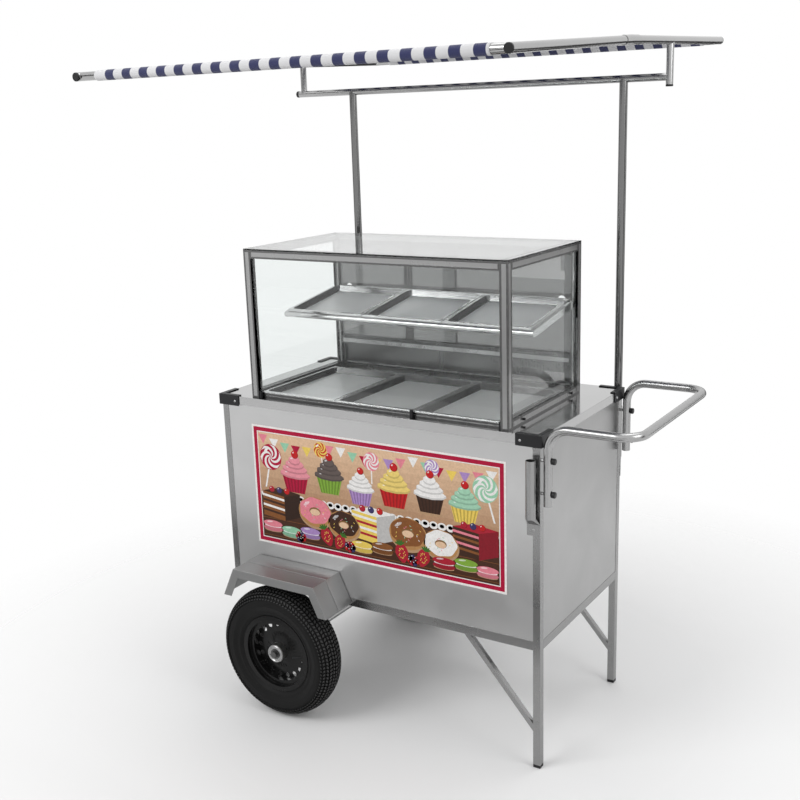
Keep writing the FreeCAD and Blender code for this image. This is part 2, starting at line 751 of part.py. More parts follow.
def track(name, low, length, height, opens_up):
    """A strip with two grooves side by side, for a pair of sliding doors."""
    web = s.track_wall
    x, y, z = low
    bar = box(name + "_bar", low, (length, track_width, height))
    groove_z = z + web if opens_up else z
    grooves = []
    for i in range(2):
        spot = (x, y + web + i * (s.track_groove + web), groove_z)
        grooves.append(box("%s_groove_%d" % (name, i), spot, (length, s.track_groove, height - web)))
    return cut(name, bar, fuse(name + "_grooves", *grooves))


def sliding_door(label, low_x, width, low_z, height, groove_y, hole_left, folded):
    """A door in its groove, with a finger hole near its outer edge. A folded door is a sheet
    with its four edges turned in, and the other kind is a plain pane."""
    wall = s.panel_sheet
    high_x = low_x + width
    door = body(label + "_body")
    corners = rectangle(low_x, low_z, high_x, low_z + height)
    pad(door, outline(door, "XZ_Plane", label + "_face", corners), s.door_thick, back=True)
    if folded:
        corners = rectangle(low_x + wall, low_z + wall, high_x - wall, low_z + height - wall)
        pocket(door, outline(door, "XZ_Plane", label + "_hollow", corners), s.door_thick - wall)
    hole_x = low_x + s.finger_in if hole_left else high_x - s.finger_in
    hole = circle(door, "XZ_Plane", label + "_hole", hole_x, low_z + s.finger_up, s.finger_radius)
    pocket(door, hole, s.door_thick)
    node(label, put(door, dim(0), groove_y + (s.track_groove - s.door_thick) / 2, dim(0)))


def door_pair(owner, low, length, high_z, folded):
    """Two sliding doors and their tracks in an opening. The left door runs in the groove
    nearer the customer."""
    x, y, z = low
    tracks = [
        track(owner + "_lower_track", low, length, s.track_low, True),
        track(owner + "_upper_track", (x, y, high_z - s.track_high), length, s.track_high, False),
    ]
    node(owner + "_tracks", group(owner + "_track_pair", *tracks))
    width = (length + s.door_overlap) / 2 - s.slide_gap
    bottom = z + s.track_wall + s.rest_gap
    height = high_z - s.track_wall - s.slide_gap - bottom
    groove = y + s.track_wall
    left_x = x + s.slide_gap
    sliding_door(owner + "_door_left", left_x, width, bottom, height, groove, True, folded)
    groove = groove + s.track_groove + s.track_wall
    right_x = x + length - s.slide_gap - width
    sliding_door(owner + "_door_right", right_x, width, bottom, height, groove, False, folded)


# ---------------------------------------------------------------- wheels, axle and fenders


def axle():
    """One steel axle through both wheels."""
    length = s.worktop_depth + 2 * axle_reach
    node("axle", rod("axle_rod", (axle_x, front - axle_reach, axle_z), s.axle_radius, length, ALONG_Y))


def axle_brackets():
    """A flat bar under each long bottom rail, bored for the axle."""
    wide = s.hanger_width
    bars = []
    for side, y in (("front", body_front), ("back", inner_back)):
        low = axle_z - wide / 2
        size = (wide, s.post_size, s.rail_bottom - low)
        bar = box(side + "_hanger_bar", (axle_x - wide / 2, y, low), size)
        hole = rod(side + "_hanger_hole", (axle_x, y, axle_z), s.axle_radius, s.post_size, ALONG_Y)
        bars.append(cut(side + "_hanger", bar, hole))
    node("axle_brackets", group("hangers", *bars))


def axle_nuts():
    """At each end of the axle a washer and a hexagon head, and a collar behind the hub."""
    made = []
    for side, edge, way, turn in (("front", front, -1, FACE_FRONT), ("back", back, 1, ALONG_Y)):
        end = edge + way * axle_reach
        made.append(rod(side + "_washer", (axle_x, end, axle_z), s.axle_washer, s.washer_thick, turn))
        head = doc.addObject("Part::Prism", side + "_head")
        head.Polygon = 6
        head.setExpression("Circumradius", s.axle_radius.text)
        head.setExpression("Height", s.axle_head.text)
        made.append(put(head, axle_x, end + way * s.washer_thick, axle_z, turn))
        behind = end - way * (s.hub_length + 2 * s.side_play + s.collar_length)
        wall = s.axle_washer - s.axle_radius
        spot = (axle_x, behind, axle_z)
        made.append(round_tube(side + "_collar", spot, s.axle_washer, wall, s.collar_length, turn))
    node("axle_nuts", group("axle_fittings", *made))


def tyre(label, spot, turn):
    """A pneumatic tyre: a hollow carcass, with gaps between the lugs round both shoulders."""
    made = body(label + "_body")
    bead = s.bead_radius
    flange = bead + s.rim_flange
    seat = s.rim_width / 2
    wall = s.tyre_wall
    side = s.tyre_width / 2
    edge = s.tread_width / 2
    crown = s.carcass_radius
    inner = crown - wall
    corners = [
        (bead, -seat),
        (flange, -seat),
        (s.tyre_bulge, -side),
        (crown, -edge),
        (crown, edge),
        (s.tyre_bulge, side),
        (flange, seat),
        (bead, seat),
        (bead, seat - wall),
        (inner, seat - wall),
        (inner, wall - seat),
        (bead, wall - seat),
    ]
    revolve(made, outline(made, "XY_Plane", label + "_section", corners))
    half = (s.tyre_radius * (2 * math.pi) / s.lug_count - s.lug_gap) / 2
    step = math.pi / s.lug_count
    cosine = Dim(math.cos(step), "cos(180 deg / %s)" % s.lug_count.text)
    sine = Dim(math.sin(step), "sin(180 deg / %s)" % s.lug_count.text)
    block = rectangle(inner + wall / 2, -half, s.tyre_radius, half)
    turned = [(u * cosine - v * sine, u * sine + v * cosine) for u, v in block]
    rows = (("near", block, -s.lug_over, False), ("far", turned, s.lug_over, True))
    for name, corners, level, backward in rows:
        plan = outline(made, "XZ_Plane", "%s_%s_lug" % (label, name), corners, level)
        lug = pad(made, plan, edge + s.lug_over, back=backward)
        around(made, lug, "Y_Axis", s.lug_count)
    node(label, put(made, *spot, turn))


def rim(label, spot, turn):
    """A rolled rim: two flanges, two bead seats and a stepped well between them."""
    made = body(label + "_body")
    bead = s.bead_radius
    flange = bead + s.rim_flange
    seat = s.rim_width / 2
    wall = s.rim_sheet
    well = bead - s.rim_well
    step = s.rim_well_width / 2
    corners = [
        (flange, -seat - wall),
        (flange, -seat),
        (bead, -seat),
        (bead, -step),
        (well, -step),
        (well, step),
        (bead, step),
        (bead, seat),
        (flange, seat),
        (flange, seat + wall),
        (bead - wall, seat + wall),
        (bead - wall, step + wall),
        (well - wall, step + wall),
        (well - wall, -step - wall),
        (bead - wall, -step - wall),
        (bead - wall, -seat - wall),
    ]
    revolve(made, outline(made, "XY_Plane", label + "_section", corners))
    node(label, put(made, *spot, turn))


def rim_disc(label, spot, turn):
    """A pressed disc between the rim and the hub, dished in its middle, with a ring of holes."""
    made = body(label + "_body")
    edge = s.bead_radius - s.rim_well - s.rim_sheet - s.weld_gap
    bore = s.hub_radius + s.weld_gap
    disc = s.rim_sheet / 2
    dish = s.rim_dish
    corners = [
        (edge, disc),
        (s.rim_dish_radius, disc),
        (bore, disc - dish),
        (bore, -disc - dish),
        (s.rim_dish_radius, -disc),
        (edge, -disc),
    ]
    revolve(made, outline(made, "XY_Plane", label + "_section", corners))
    hole = circle(made, "XZ_Plane", label + "_hole", s.rim_hole_ring, dim(0), s.rim_hole)
    cutter = pocket(made, hole, 2 * s.rim_sheet, both=True)
    around(made, cutter, "Y_Axis", s.rim_hole_count)
    node(label, put(made, *spot, turn))


def hub(label, spot, turn):
    """A turned steel hub that runs on the axle."""
    inside = s.axle_radius + s.running_gap
    low = (dim(0), -s.hub_length / 2, dim(0))
    tube = round_tube(label + "_tube", low, s.hub_radius, s.hub_radius - inside, s.hub_length, ALONG_Y)
    node(label, put(group(label + "_group", tube), *spot, turn))


def valve(label, spot, turn):
    """A valve stem that leans out of the rim's well."""
    angle = math.radians(s.valve_lean)
    tip = Dim(math.sin(angle), "sin(%s * 1 deg)" % s.valve_lean.text)
    foot = s.bead_radius - s.rim_well - s.rim_sheet - s.rest_gap - s.valve_radius * tip
    lean = Rotation(Vector(0, 0, 1), Vector(-math.cos(angle), -math.sin(angle), 0))
    low = (foot, -s.valve_in, dim(0))
    stem = rod(label + "_stem", low, s.valve_radius, s.valve_length, lean)
    node(label, put(group(label + "_group", stem), *spot, turn))


def wheels():
    """The same wheel twice. The back one is turned so that its valve faces the seller."""
    for side, y, turn in (
        ("front", front - s.wheel_out, ALONG_Z),
        ("back", back + s.wheel_out, HALF_TURN),
    ):
        spot = (axle_x, y, axle_z)
        tyre(side + "_tyre", spot, turn)
        rim(side + "_rim", spot, turn)
        rim_disc(side + "_rim_disc", spot, turn)
        hub(side + "_hub", spot, turn)
        valve(side + "_valve", spot, turn)


def fender_side(inset):
    """The fender seen along the axle, its three sides moved inward."""
    run = s.fender_run
    drop = s.fender_drop
    slant = root(run * run + drop * drop)
    over = inset * slant / drop
    back_over = over - run * inset / drop
    low = s.fender_top - drop
    top_left = axle_x + s.fender_middle - s.fender_flat / 2
    top_right = top_left + s.fender_flat
    return [
        (top_left - run + over, low),
        (top_left + back_over, s.fender_top - inset),
        (top_right - back_over, s.fender_top - inset),
        (top_right + run - over, low),
    ]


def fender(side, y, outward_back):
    """A folded sheet over a wheel, with a lip along its outer edge."""
    made = body("fender_%s_body" % side)
    plan = outline(made, "XZ_Plane", "fender_%s_outside" % side, fender_side(dim(0)))
    pad(made, plan, s.fender_depth, back=outward_back)
    plan = outline(made, "XZ_Plane", "fender_%s_inside" % side, fender_side(s.fender_sheet))
    pocket(made, plan, s.fender_depth - s.fender_sheet, back=not outward_back)
    plan = outline(made, "XZ_Plane", "fender_%s_mouth" % side, fender_side(s.fender_lip))
    pocket(made, plan, s.fender_depth, back=not outward_back)
    node("fender_" + side, put(made, dim(0), y, dim(0)))


# ---------------------------------------------------------------- push handle


def handle():
    """A bent tube that runs up both legs and out into a grip."""
    far = right + s.handle_reach
    points = [
        (handle_x, handle_front, s.handle_low),
        (handle_x, handle_front, s.handle_high),
        (far, handle_front, s.handle_high),
        (far, handle_back, s.handle_high),
        (handle_x, handle_back, s.handle_high),
        (handle_x, handle_back, s.handle_low),
    ]
    tube = bent_rod(points, s.handle_bend, s.handle_radius)
    inside = s.handle_radius - s.handle_wall
    length = s.handle_high - s.handle_bend - s.handle_low
    for y in (handle_front, handle_back):
        tube = tube.cut(Part.makeCylinder(inside, length, Vector(handle_x, y, s.handle_low)))
    shape_node("handle", tube)


def handle_fittings():
    """Bolts between the legs and the handle, and round nut covers on its outer side."""
    bolts = []
    knobs = []
    near = handle_x - s.handle_radius
    far = handle_x + s.handle_radius
    for i, (y, z) in enumerate(handle_bolt_spots()):
        bolts.append(rod("bolt_%d" % i, (body_right, y, z), s.bolt_radius, near - body_right, ALONG_X))
        knobs.append(rod("knob_%d" % i, (far, y, z), s.knob_radius, s.knob_height, ALONG_X))
    node("handle_bolts", group("bolts", *bolts))
    node("handle_knobs", group("knobs", *knobs))


# ---------------------------------------------------------------- display case


def pane_boxes():
    """The low corner and size of the front, left and right panes."""
    thick = s.glass
    seat = s.glass_seat
    top = case_top - s.profile + seat
    side_low = s.worktop_top + s.profile - seat
    front_low = s.worktop_top + s.clip_foot
    side_size = (thick, case_inner_depth + 2 * seat, top - side_low)
    return {
        "front": (
            (case_inner_left - seat, case_front + s.glass_offset, front_low),
            (case_inner_length + 2 * seat, thick, top - front_low),
        ),
        "left": ((case_left + s.glass_offset, case_inner_front - seat, side_low), side_size),
        "right": ((case_right - s.glass_offset - thick, case_inner_front - seat, side_low), side_size),
    }


def case_panes():
    """Three panes in the frame's grooves and one that lies on the frame."""
    for side, (low, size) in pane_boxes().items():
        node("case_%s_glass" % side, box(side + "_pane", low, size))
    size = (case_length, s.case_depth, s.glass)
    node("case_top_glass", box("top_pane", (case_left, case_front, case_top), size))


def case_frame():
    """Square profiles with grooves for the panes, and rest rails for the lower trays."""
    wide = s.profile
    low = s.worktop_top
    top = case_top - wide
    bars = []
    for end, x in (("left", case_left), ("right", case_inner_right)):
        for side, y in (("front", case_front), ("back", case_inner_back)):
            size = (wide, wide, case_top - low)
            bars.append(box("case_post_%s_%s" % (end, side), (x, y, low), size))
        size = (wide, case_inner_depth, wide)
        bars.append(box("case_top_" + end, (x, case_inner_front, top), size))
        bars.append(box("case_base_" + end, (x, case_inner_front, low), size))
    size = (case_inner_length, wide, wide)
    bars.append(box("case_top_front", (case_inner_left, case_front, top), size))
    bars.append(box("case_top_back", (case_inner_left, case_inner_back, top), size))
    bars.append(box("case_base_back", (case_inner_left, case_inner_back, low), size))
    bars.append(box("case_middle_back", (case_inner_left, case_inner_back, s.mid_rail), size))
    gap = s.glass_gap
    rooms = []
    for side, (spot, size) in pane_boxes().items():
        spot = [place - gap for place in spot]
        size = [length + 2 * gap for length in size]
        rooms.append(box(side + "_groove", spot, size))
    grooved = cut("grooved_frame", group("frame_bars", *bars), fuse("grooves", *rooms))
    tray_low = case_front + s.base_tray_y
    inside = s.tray_sheet + s.rest_gap
    size = (case_inner_length, s.tray_rest, s.tray_drop)
    rests = [
        box("front_rest", (case_inner_left, tray_low + inside, low), size),
        box("back_rest", (case_inner_left, tray_low + base_tray_depth - inside - s.tray_rest, low), size),
    ]
    node("case_frame", group("case_frame_parts", grooved, *rests))


def case_back_strip():
    """A low fixed strip under the case's doors."""
    low = s.worktop_top + s.profile
    spot = (case_inner_left, case_back - s.glass_offset - s.panel_sheet, low)
    size = (case_inner_length, s.panel_sheet, s.mid_rail - low)
    node("case_back_strip", box("strip_sheet", spot, size))


def tray_clips():
    """Rubber clips that hold the front pane off the worktop, and studs on the base rails."""
    wide = s.clip_width
    gap = s.glass_gap
    pane_y = case_front + s.glass_offset
    pane_low = s.worktop_top + s.clip_foot
    made = []
    for name, x in (
        ("left", case_inner_left),
        ("middle", case_left + s.clip_middle - wide / 2),
        ("right", case_inner_right - wide),
    ):
        low = (x, pane_y - gap - s.clip_wall, s.worktop_top)
        depth = s.glass + 2 * (gap + s.clip_wall)
        block = box("clip_block_" + name, low, (wide, depth, s.clip_foot + s.clip_grip))
        size = (wide, s.glass + 2 * gap, s.clip_grip)
        made.append(cut("clip_" + name, block, box("clip_slot_" + name, (x, pane_y - gap, pane_low), size)))
    level = s.worktop_top + s.profile / 2
    for end, x, turn in (("left", case_left, FACE_LEFT), ("right", case_right, ALONG_X)):
        for side, y in (("front", s.stud_front), ("back", s.stud_back)):
            spot = (x, case_front + y, level)
            stud = doc.addObject("Part::Prism", "stud_%s_%s" % (end, side))
            stud.Polygon = 8
            stud.setExpression("Circumradius", s.stud_radius.text)
            stud.setExpression("Height", s.stud_height.text)
            made.append(put(stud, *spot, turn))
    node("tray_clips", group("clips", *made))


def soft_corners(inset, width, depth, corner):
    """A rectangle with each corner taken off in two flats that follow a round corner."""
    near = corner * (1 - math.sqrt(0.5))
    far_x = width - inset
    far_y = depth - inset
    return [
        (far_x - corner, inset),
        (far_x - near, inset + near),
        (far_x, inset + corner),
        (far_x, far_y - corner),
        (far_x - near, far_y - near),
        (far_x - corner, far_y),
        (inset + corner, far_y),
        (inset + near, far_y - near),
        (inset, far_y - corner),
        (inset, inset + corner),
        (inset + near, inset + near),
        (inset + corner, inset),
    ]


def tray(label, width, depth, spot, turn=ALONG_Z):
    """A pressed tray: a flat rim with a skirt, and a bowl with sloping walls. Its own origin
    is under the front left corner of the rim."""
    wall = s.tray_sheet
    corner = s.tray_corner
    fall = s.tray_rim + s.tray_drop - wall
    aside = wall * math.hypot(s.tray_slope, fall) / fall
    plate = Part.makeBox(width, depth, s.tray_rim)
    under = Part.makeBox(width - 2 * wall, depth - 2 * wall, s.tray_rim - wall, Vector(wall, wall, 0))
    bowls = []
    for inset, floor in ((s.tray_flange - aside, -s.tray_drop), (s.tray_flange, wall - s.tray_drop)):
        bottom = soft_corners(inset + s.tray_slope, width, depth, corner)
        mouth = soft_corners(inset, width, depth, corner)
        bowls.append(frustum(bottom, floor, mouth, s.tray_rim))
    shape = plate.cut(under).fuse(bowls[0]).cut(bowls[1]).removeSplitter()
    shape_node(label, shape, Placement(Vector(*spot), turn))


def tray_row(owner, width, depth, y, z, turn=ALONG_Z):
    """Three trays side by side, in the middle of the case."""
    start = case_middle - width * 1.5 - s.tray_gap
    for i, name in enumerate(("left", "middle", "right")):
        spot = (start + i * (width + s.tray_gap), y, z)
        tray("%s_tray_%s" % (owner, name), width, depth, spot, turn)


def base_trays():
    """The lower trays, with their rims on the rest rails."""
    z = s.worktop_top + s.tray_drop + s.rest_gap
    tray_row("base", base_tray_width, base_tray_depth, case_front + s.base_tray_y, z)


def slope(y, z):
    """A point of the shelf's tilted plane. y runs back from the trays' front edge, z is
    square to the plane, which rises to the rear."""
    sine = Dim(math.sin(math.radians(s.shelf_angle)), "sin(%s * 1 deg)" % s.shelf_angle.text)
    cosine = Dim(math.cos(math.radians(s.shelf_angle)), "cos(%s * 1 deg)" % s.shelf_angle.text)
    back_off = dim(y) - s.shelf_tray_depth
    place_y = case_inner_back - s.shelf_back + back_off * cosine - dim(z) * sine
    place_z = s.shelf_top + back_off * sine + dim(z) * cosine
    return place_y, place_z


def shelf():
    """A welded frame that tilts the upper trays to the customer, and its three trays."""
    tilt = Rotation(Vector(1, 0, 0), s.shelf_angle)
    thick = s.shelf_arm_thick
    low_x = case_left + s.glass_offset + s.glass + s.shelf_side
    high_x = case_right - s.glass_offset - s.glass - s.shelf_side
    rail_y = s.tray_sheet
    length = s.shelf_tray_depth + 3 * s.shelf_back
    arms = []
    y, z = slope(rail_y, -s.shelf_arm)
    for end, x in (("left", low_x), ("right", high_x - thick)):
        arm = box("shelf_arm_" + end, (x, y, z), (thick, length, s.shelf_arm))
        arm.Placement = Placement(arm.Placement.Base, tilt)
        arms.append(arm)
    y, z = slope(rail_y, -s.shelf_rail)
    rail = rod("shelf_front_rail", (low_x, y, z), s.shelf_rail, high_x - low_x, ALONG_X)
    square = s.shelf_rear_rail
    y, z = slope(s.shelf_tray_depth - s.tray_sheet - square, -square)
    rear = box("shelf_back_rail", (low_x + thick, y, z), (high_x - low_x - 2 * thick, square, square))
    rear.Placement = Placement(rear.Placement.Base, tilt)
    frame = fuse("shelf_bars", rail, rear, *arms)
    span = high_x - low_x - 2 * (thick + s.shelf_tray_side)
    tray_width = (span - 2 * s.tray_gap) / 3
    size = (case_length, length, s.case_height)
    behind = box("behind_shelf", (case_left, case_inner_back, s.worktop_top), size)
    node("shelf_frame", cut("shelf_welded", frame, behind))
    y, z = slope(0, s.rest_gap)
    tray_row("shelf", tray_width, s.shelf_tray_depth, y, z, tilt)


# ---------------------------------------------------------------- canopy

pole_y = back + pole_out
arm_left_x = left + s.canopy_left
arm_right_x = arm_left_x + s.canopy_width
canopy_low = s.canopy_joint_z - s.canopy_fall
canopy_high = s.canopy_joint_z + s.canopy_rise
bar_level = s.canopy_joint_z - s.bar_drop
COPE_START = 0.3  # of its radius, where a coped tube starts inside the other tube


def rise_at(y):
    """The height of the rear half arms' centre line at one y."""
    share = (y - s.canopy_joint_y) / (s.canopy_rear_y - s.canopy_joint_y)
    return s.canopy_joint_z + s.canopy_rise * share


class HalfArm:
    """The line of the two front or two rear half arms, from their joint to the cross tube."""

    def __init__(self, end_y, end_z):
        self.run = end_y - s.canopy_joint_y
        self.rise = end_z - s.canopy_joint_z
        self.length = root(self.run * self.run + self.rise * self.rise)
        self.turn = Rotation(Vector(0, 0, 1), Vector(0, self.run, self.rise))

    def at(self, x, along):
        """The point at a distance along the arm from the joint."""
        y = s.canopy_joint_y + self.run * along / self.length
        return x, y, s.canopy_joint_z + self.rise * along / self.length


front_arm = HalfArm(s.canopy_front_y, canopy_low)
rear_arm = HalfArm(s.canopy_rear_y, canopy_high)


def canopy_arms():
    """Half arms that meet in a sleeve. The sleeve is welded to the front half."""
    radius = s.arm_radius
    wall = s.canopy_wall
    gap = s.rest_gap
    front_parts = []
    rear_parts = []
    for end, x in (("left", arm_left_x), ("right", arm_right_x)):
        length = front_arm.length + s.arm_overhang - gap
        arm = round_tube("front_arm_" + end, front_arm.at(x, gap), radius, wall, length, front_arm.turn)
        low = front_arm.at(x, dim(0))
        cover = radius + wall
        near = round_tube("near_sleeve_" + end, low, cover, wall, s.arm_sleeve, front_arm.turn)
        far = round_tube("far_sleeve_" + end, low, cover, wall, s.arm_sleeve, rear_arm.turn)
        front_parts += [arm, near, far]
        length = rear_arm.length + s.arm_overhang - gap
        rear_parts.append(
            round_tube("rear_arm_" + end, rear_arm.at(x, gap), radius, wall, length, rear_arm.turn))
    node("canopy_front_arms", group("front_half_arms", *front_parts))
    node("canopy_rear_arms", group("rear_half_arms", *rear_parts))


def arm_rods(name, arm):
    """The two arms of one half as solid rods, to cope other tubes against."""
    rods = []
    for end, x in (("left", arm_left_x), ("right", arm_right_x)):
        length = arm.length + s.arm_overhang
        rods.append(rod("%s_%s" % (name, end), arm.at(x, dim(0)), s.arm_radius, length, arm.turn))
    return fuse(name, *rods)


def canopy_cross_tubes():
    """The front and rear tubes that carry the canvas, coped against the arms."""
    tubes = []
    start = s.arm_radius * COPE_START
    length = s.canopy_width - 2 * start
    for name, arm in (("front", front_arm), ("rear", rear_arm)):
        low = arm.at(arm_left_x + start, arm.length)
        tube = round_tube(name + "_cross", low, s.arm_radius, s.canopy_wall, length, ALONG_X)
        tubes.append(cut(name + "_cross_tube", tube, arm_rods(name + "_cope", arm)))
    node("canopy_cross_tubes", group("cross_tubes", *tubes))


def canopy_bars():
    """The cross bar in two halves, each with the upright that carries the rear arms."""
    radius = s.bar_radius
    wall = s.canopy_wall
    level = bar_level
    joint = left + s.bar_joint_x
    top = rise_at(pole_y)
    start = radius * COPE_START
    bar_low = arm_left_x - s.bar_overhang
    arms = arm_rods("upright_cope", rear_arm)
    bar = round_tube("left_bar", (bar_low, pole_y, level), radius, wall, joint - bar_low, ALONG_X)
    core = rod("left_bar_core", (bar_low, pole_y, level), radius, joint - bar_low, ALONG_X)
    low = (arm_left_x, pole_y, level + start)
    upright = round_tube("left_stem", low, radius, wall, top - level - start)
    upright = cut("left_upright", upright, fuse("left_stem_cope", core, arms))
    node("canopy_bar_left", group("left_bar_parts", bar, upright))
    low = (arm_right_x, pole_y, level - 2 * radius)
    length = top - level + 2 * radius
    upright = cut("right_upright", round_tube("right_stem", low, radius, wall, length), arms)
    core = rod("right_stem_core", low, radius, length)
    length = arm_right_x - start - joint
    bar = round_tube("right_bar", (joint, pole_y, level), radius, wall, length, ALONG_X)
    node("canopy_bar_right", group("right_bar_parts", cut("right_bar_coped", bar, core), upright))


def canopy_poles():
    """Two poles from the plugs of their sockets to the cross bar."""
    low = s.socket_top - s.socket_length + s.socket_seat + s.rest_gap
    length = bar_level - low
    poles = []
    for end, x in (("left", left + s.left_pole_x), ("right", left + s.right_pole_x)):
        pole = round_tube("pole_" + end, (x, pole_y, low), s.pole_radius, s.canopy_wall, length)
        spot = (x - 2 * s.pole_radius, pole_y, bar_level)
        core = rod("pole_cope_" + end, spot, s.bar_radius, 4 * s.pole_radius, ALONG_X)
        poles.append(cut("coped_pole_" + end, pole, core))
    node("canopy_poles", group("pole_pair", *poles))


def canopy_caps():
    """Plastic caps on the arms' ends, the bar's left end and the right upright's lower end."""
    caps = []
    for name, arm in (("front", front_arm), ("rear", rear_arm)):
        for end, x in (("left", arm_left_x), ("right", arm_right_x)):
            spot = arm.at(x, arm.length + s.arm_overhang)
            caps.append(rod("cap_%s_%s" % (name, end), spot, s.arm_radius, s.cap_length, arm.turn))
    spot = (arm_left_x - s.bar_overhang, pole_y, bar_level)
    caps.append(rod("bar_cap", spot, s.bar_radius, s.bar_radius, FACE_LEFT))
    spot = (arm_right_x, pole_y, bar_level - 2 * s.bar_radius - s.cap_length)
    caps.append(rod("stem_cap", spot, s.bar_radius, s.cap_length))
    node("canopy_caps", group("caps", *caps))


def canopy_cloth():
    """The canvas: one flat sheet between the cross tubes, sewn in a loop round each."""
    inner = s.arm_radius + s.cloth_gap
    outer = inner + s.cloth_thick
    x = arm_left_x + s.cloth_inset
    near = Vector(x, s.canopy_front_y, canopy_low)
    far = Vector(x, s.canopy_rear_y, canopy_high)
    along = (far - near).normalize()
    up = Vector(1, 0, 0).cross(along)
    root_in = math.sqrt(outer * outer - inner * inner)

    def spot(middle, u, v):
        return middle + along * u + up * v

    slant = outer * math.sqrt(0.5)
    edges = [
        Part.LineSegment(spot(near, 0, outer), spot(far, 0, outer)),
        Part.Arc(spot(far, 0, outer), spot(far, outer, 0), spot(far, 0, -outer)),
        Part.Arc(spot(far, 0, -outer), spot(far, -slant, -slant), spot(far, -outer, 0)),
        Part.Arc(spot(far, -outer, 0), spot(far, -slant, slant), spot(far, -root_in, inner)),
        Part.LineSegment(spot(far, -root_in, inner), spot(near, root_in, inner)),
        Part.Arc(spot(near, root_in, inner), spot(near, slant, slant), spot(near, outer, 0)),
        Part.Arc(spot(near, outer, 0), spot(near, slant, -slant), spot(near, 0, -outer)),
        Part.Arc(spot(near, 0, -outer), spot(near, -outer, 0), spot(near, 0, outer)),
    ]
    wires = [Part.Wire([edge.toShape() for edge in edges])]
    for middle in (near, far):
        wires.append(Part.Wire([Part.Circle(middle, Vector(1, 0, 0), inner).toShape()]))
    width = s.canopy_width - s.cloth_inset - s.cloth_right
    face = Part.Face(wires[0])
    for ring in wires[1:]:
        face = face.cut(Part.Face(ring))
    shape_node("canopy_cloth", face.extrude(Vector(width, 0, 0)))


# ---------------------------------------------------------------- the whole trolley

corner_posts()
leg_feet()
cabinet_rails()
cabinet_panels()
braces()
worktop()
corner_guards()
dome_screws()
pole_sockets()
graphic_sheet()
track_y = inner_back + (s.post_size - track_width) / 2
door_pair("cabinet", (stile_right, track_y, sill_top), inner_right - stile_right, top_rail, True)
axle()
axle_brackets()
axle_nuts()
wheels()
fender("front", body_front, False)
fender("back", body_back, True)
handle()
handle_fittings()
case_panes()
case_frame()
case_back_strip()
track_y = case_inner_back + (s.profile - track_width) / 2
door_low = (case_inner_left, track_y, s.mid_rail + s.profile)
door_pair("case", door_low, case_inner_length, case_top - s.profile, False)
tray_clips()
base_trays()
shelf()
canopy_poles()
canopy_bars()
canopy_arms()
canopy_cross_tubes()
canopy_caps()
canopy_cloth()

doc.recompute()
faults = []
for made in doc.Objects:
    if "Invalid" in made.State or "Error" in made.State:
        faults.append("%s is %s" % (made.Name, made.State))
for made in nodes:
    if made.Shape.isNull() or not made.Shape.isValid():
        faults.append("%s has no valid shape" % made.Label)
if faults:
    raise SystemExit("\n".join(faults))

os.makedirs("parts", exist_ok=True)
for made in nodes:
    made.Shape.exportStep("parts/%s.step" % made.Label)
    print(made.Label, len(made.Shape.Solids), round(made.Shape.Volume))
print(len(nodes), "sub-parts")
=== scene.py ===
# %% [markdown]
# # A dessert trolley
# The real trolley is bent and welded from polished stainless sheet and tube. It stands on two
# barrow wheels and two legs, and carries a glazed case with trays and a striped canvas. Its
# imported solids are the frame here: each cell dresses them, or puts a finer piece in the place
# of a plain one, and every piece stays where its solid is.
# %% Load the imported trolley
import math

import bmesh
import bpy
from mathutils import Matrix, Vector, noise


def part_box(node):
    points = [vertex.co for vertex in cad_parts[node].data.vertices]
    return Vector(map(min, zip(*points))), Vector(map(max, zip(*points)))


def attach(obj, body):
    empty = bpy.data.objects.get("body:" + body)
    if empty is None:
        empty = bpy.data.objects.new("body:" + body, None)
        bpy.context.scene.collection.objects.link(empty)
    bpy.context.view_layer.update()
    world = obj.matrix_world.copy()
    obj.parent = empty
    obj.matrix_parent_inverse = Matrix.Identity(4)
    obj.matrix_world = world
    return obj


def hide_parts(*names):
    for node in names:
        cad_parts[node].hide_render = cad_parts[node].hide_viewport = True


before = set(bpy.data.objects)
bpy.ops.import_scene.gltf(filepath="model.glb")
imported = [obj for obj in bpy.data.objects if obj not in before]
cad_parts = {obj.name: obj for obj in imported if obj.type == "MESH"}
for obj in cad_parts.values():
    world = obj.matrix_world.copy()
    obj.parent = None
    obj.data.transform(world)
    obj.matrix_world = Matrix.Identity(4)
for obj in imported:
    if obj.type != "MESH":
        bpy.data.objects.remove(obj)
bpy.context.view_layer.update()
MM = 0.001

# %% [markdown]
# ## Camera
# The photograph was taken from the customer's side, a little to the right and just below
# the canopy. Its place and turn come from the cabinet's edges, so the view has a slight roll,
# and they are given as three directions and not as angles.
# %% Camera
PHOTO_WIDTH, FOCAL_PIXELS = 800, 1101.38
CAMERA_PLACE = (1.48775, -2.60646, 1.63948)
TO_RIGHT = Vector((0.84764206, 0.52965547, -0.0311131))
DOWNWARD = Vector((0.10561469, -0.22590833, -0.9684064))
FORWARD = Vector((-0.51995045, 0.817576, -0.2474288))


def into_scene(name, data):
    made = bpy.data.objects.new(name, data)
    bpy.context.scene.collection.objects.link(made)
    return made


camera_data = bpy.data.cameras.new("camera")
camera_data.sensor_width = 36
camera_data.lens = FOCAL_PIXELS / PHOTO_WIDTH * camera_data.sensor_width
camera_data.clip_end = 60
camera = into_scene("camera", camera_data)
turn = Matrix((TO_RIGHT, -DOWNWARD, -FORWARD)).transposed().to_4x4()
camera.matrix_world = Matrix.Translation(CAMERA_PLACE) @ turn
bpy.context.scene.camera = camera
print("lens", round(camera_data.lens, 2), "mm")

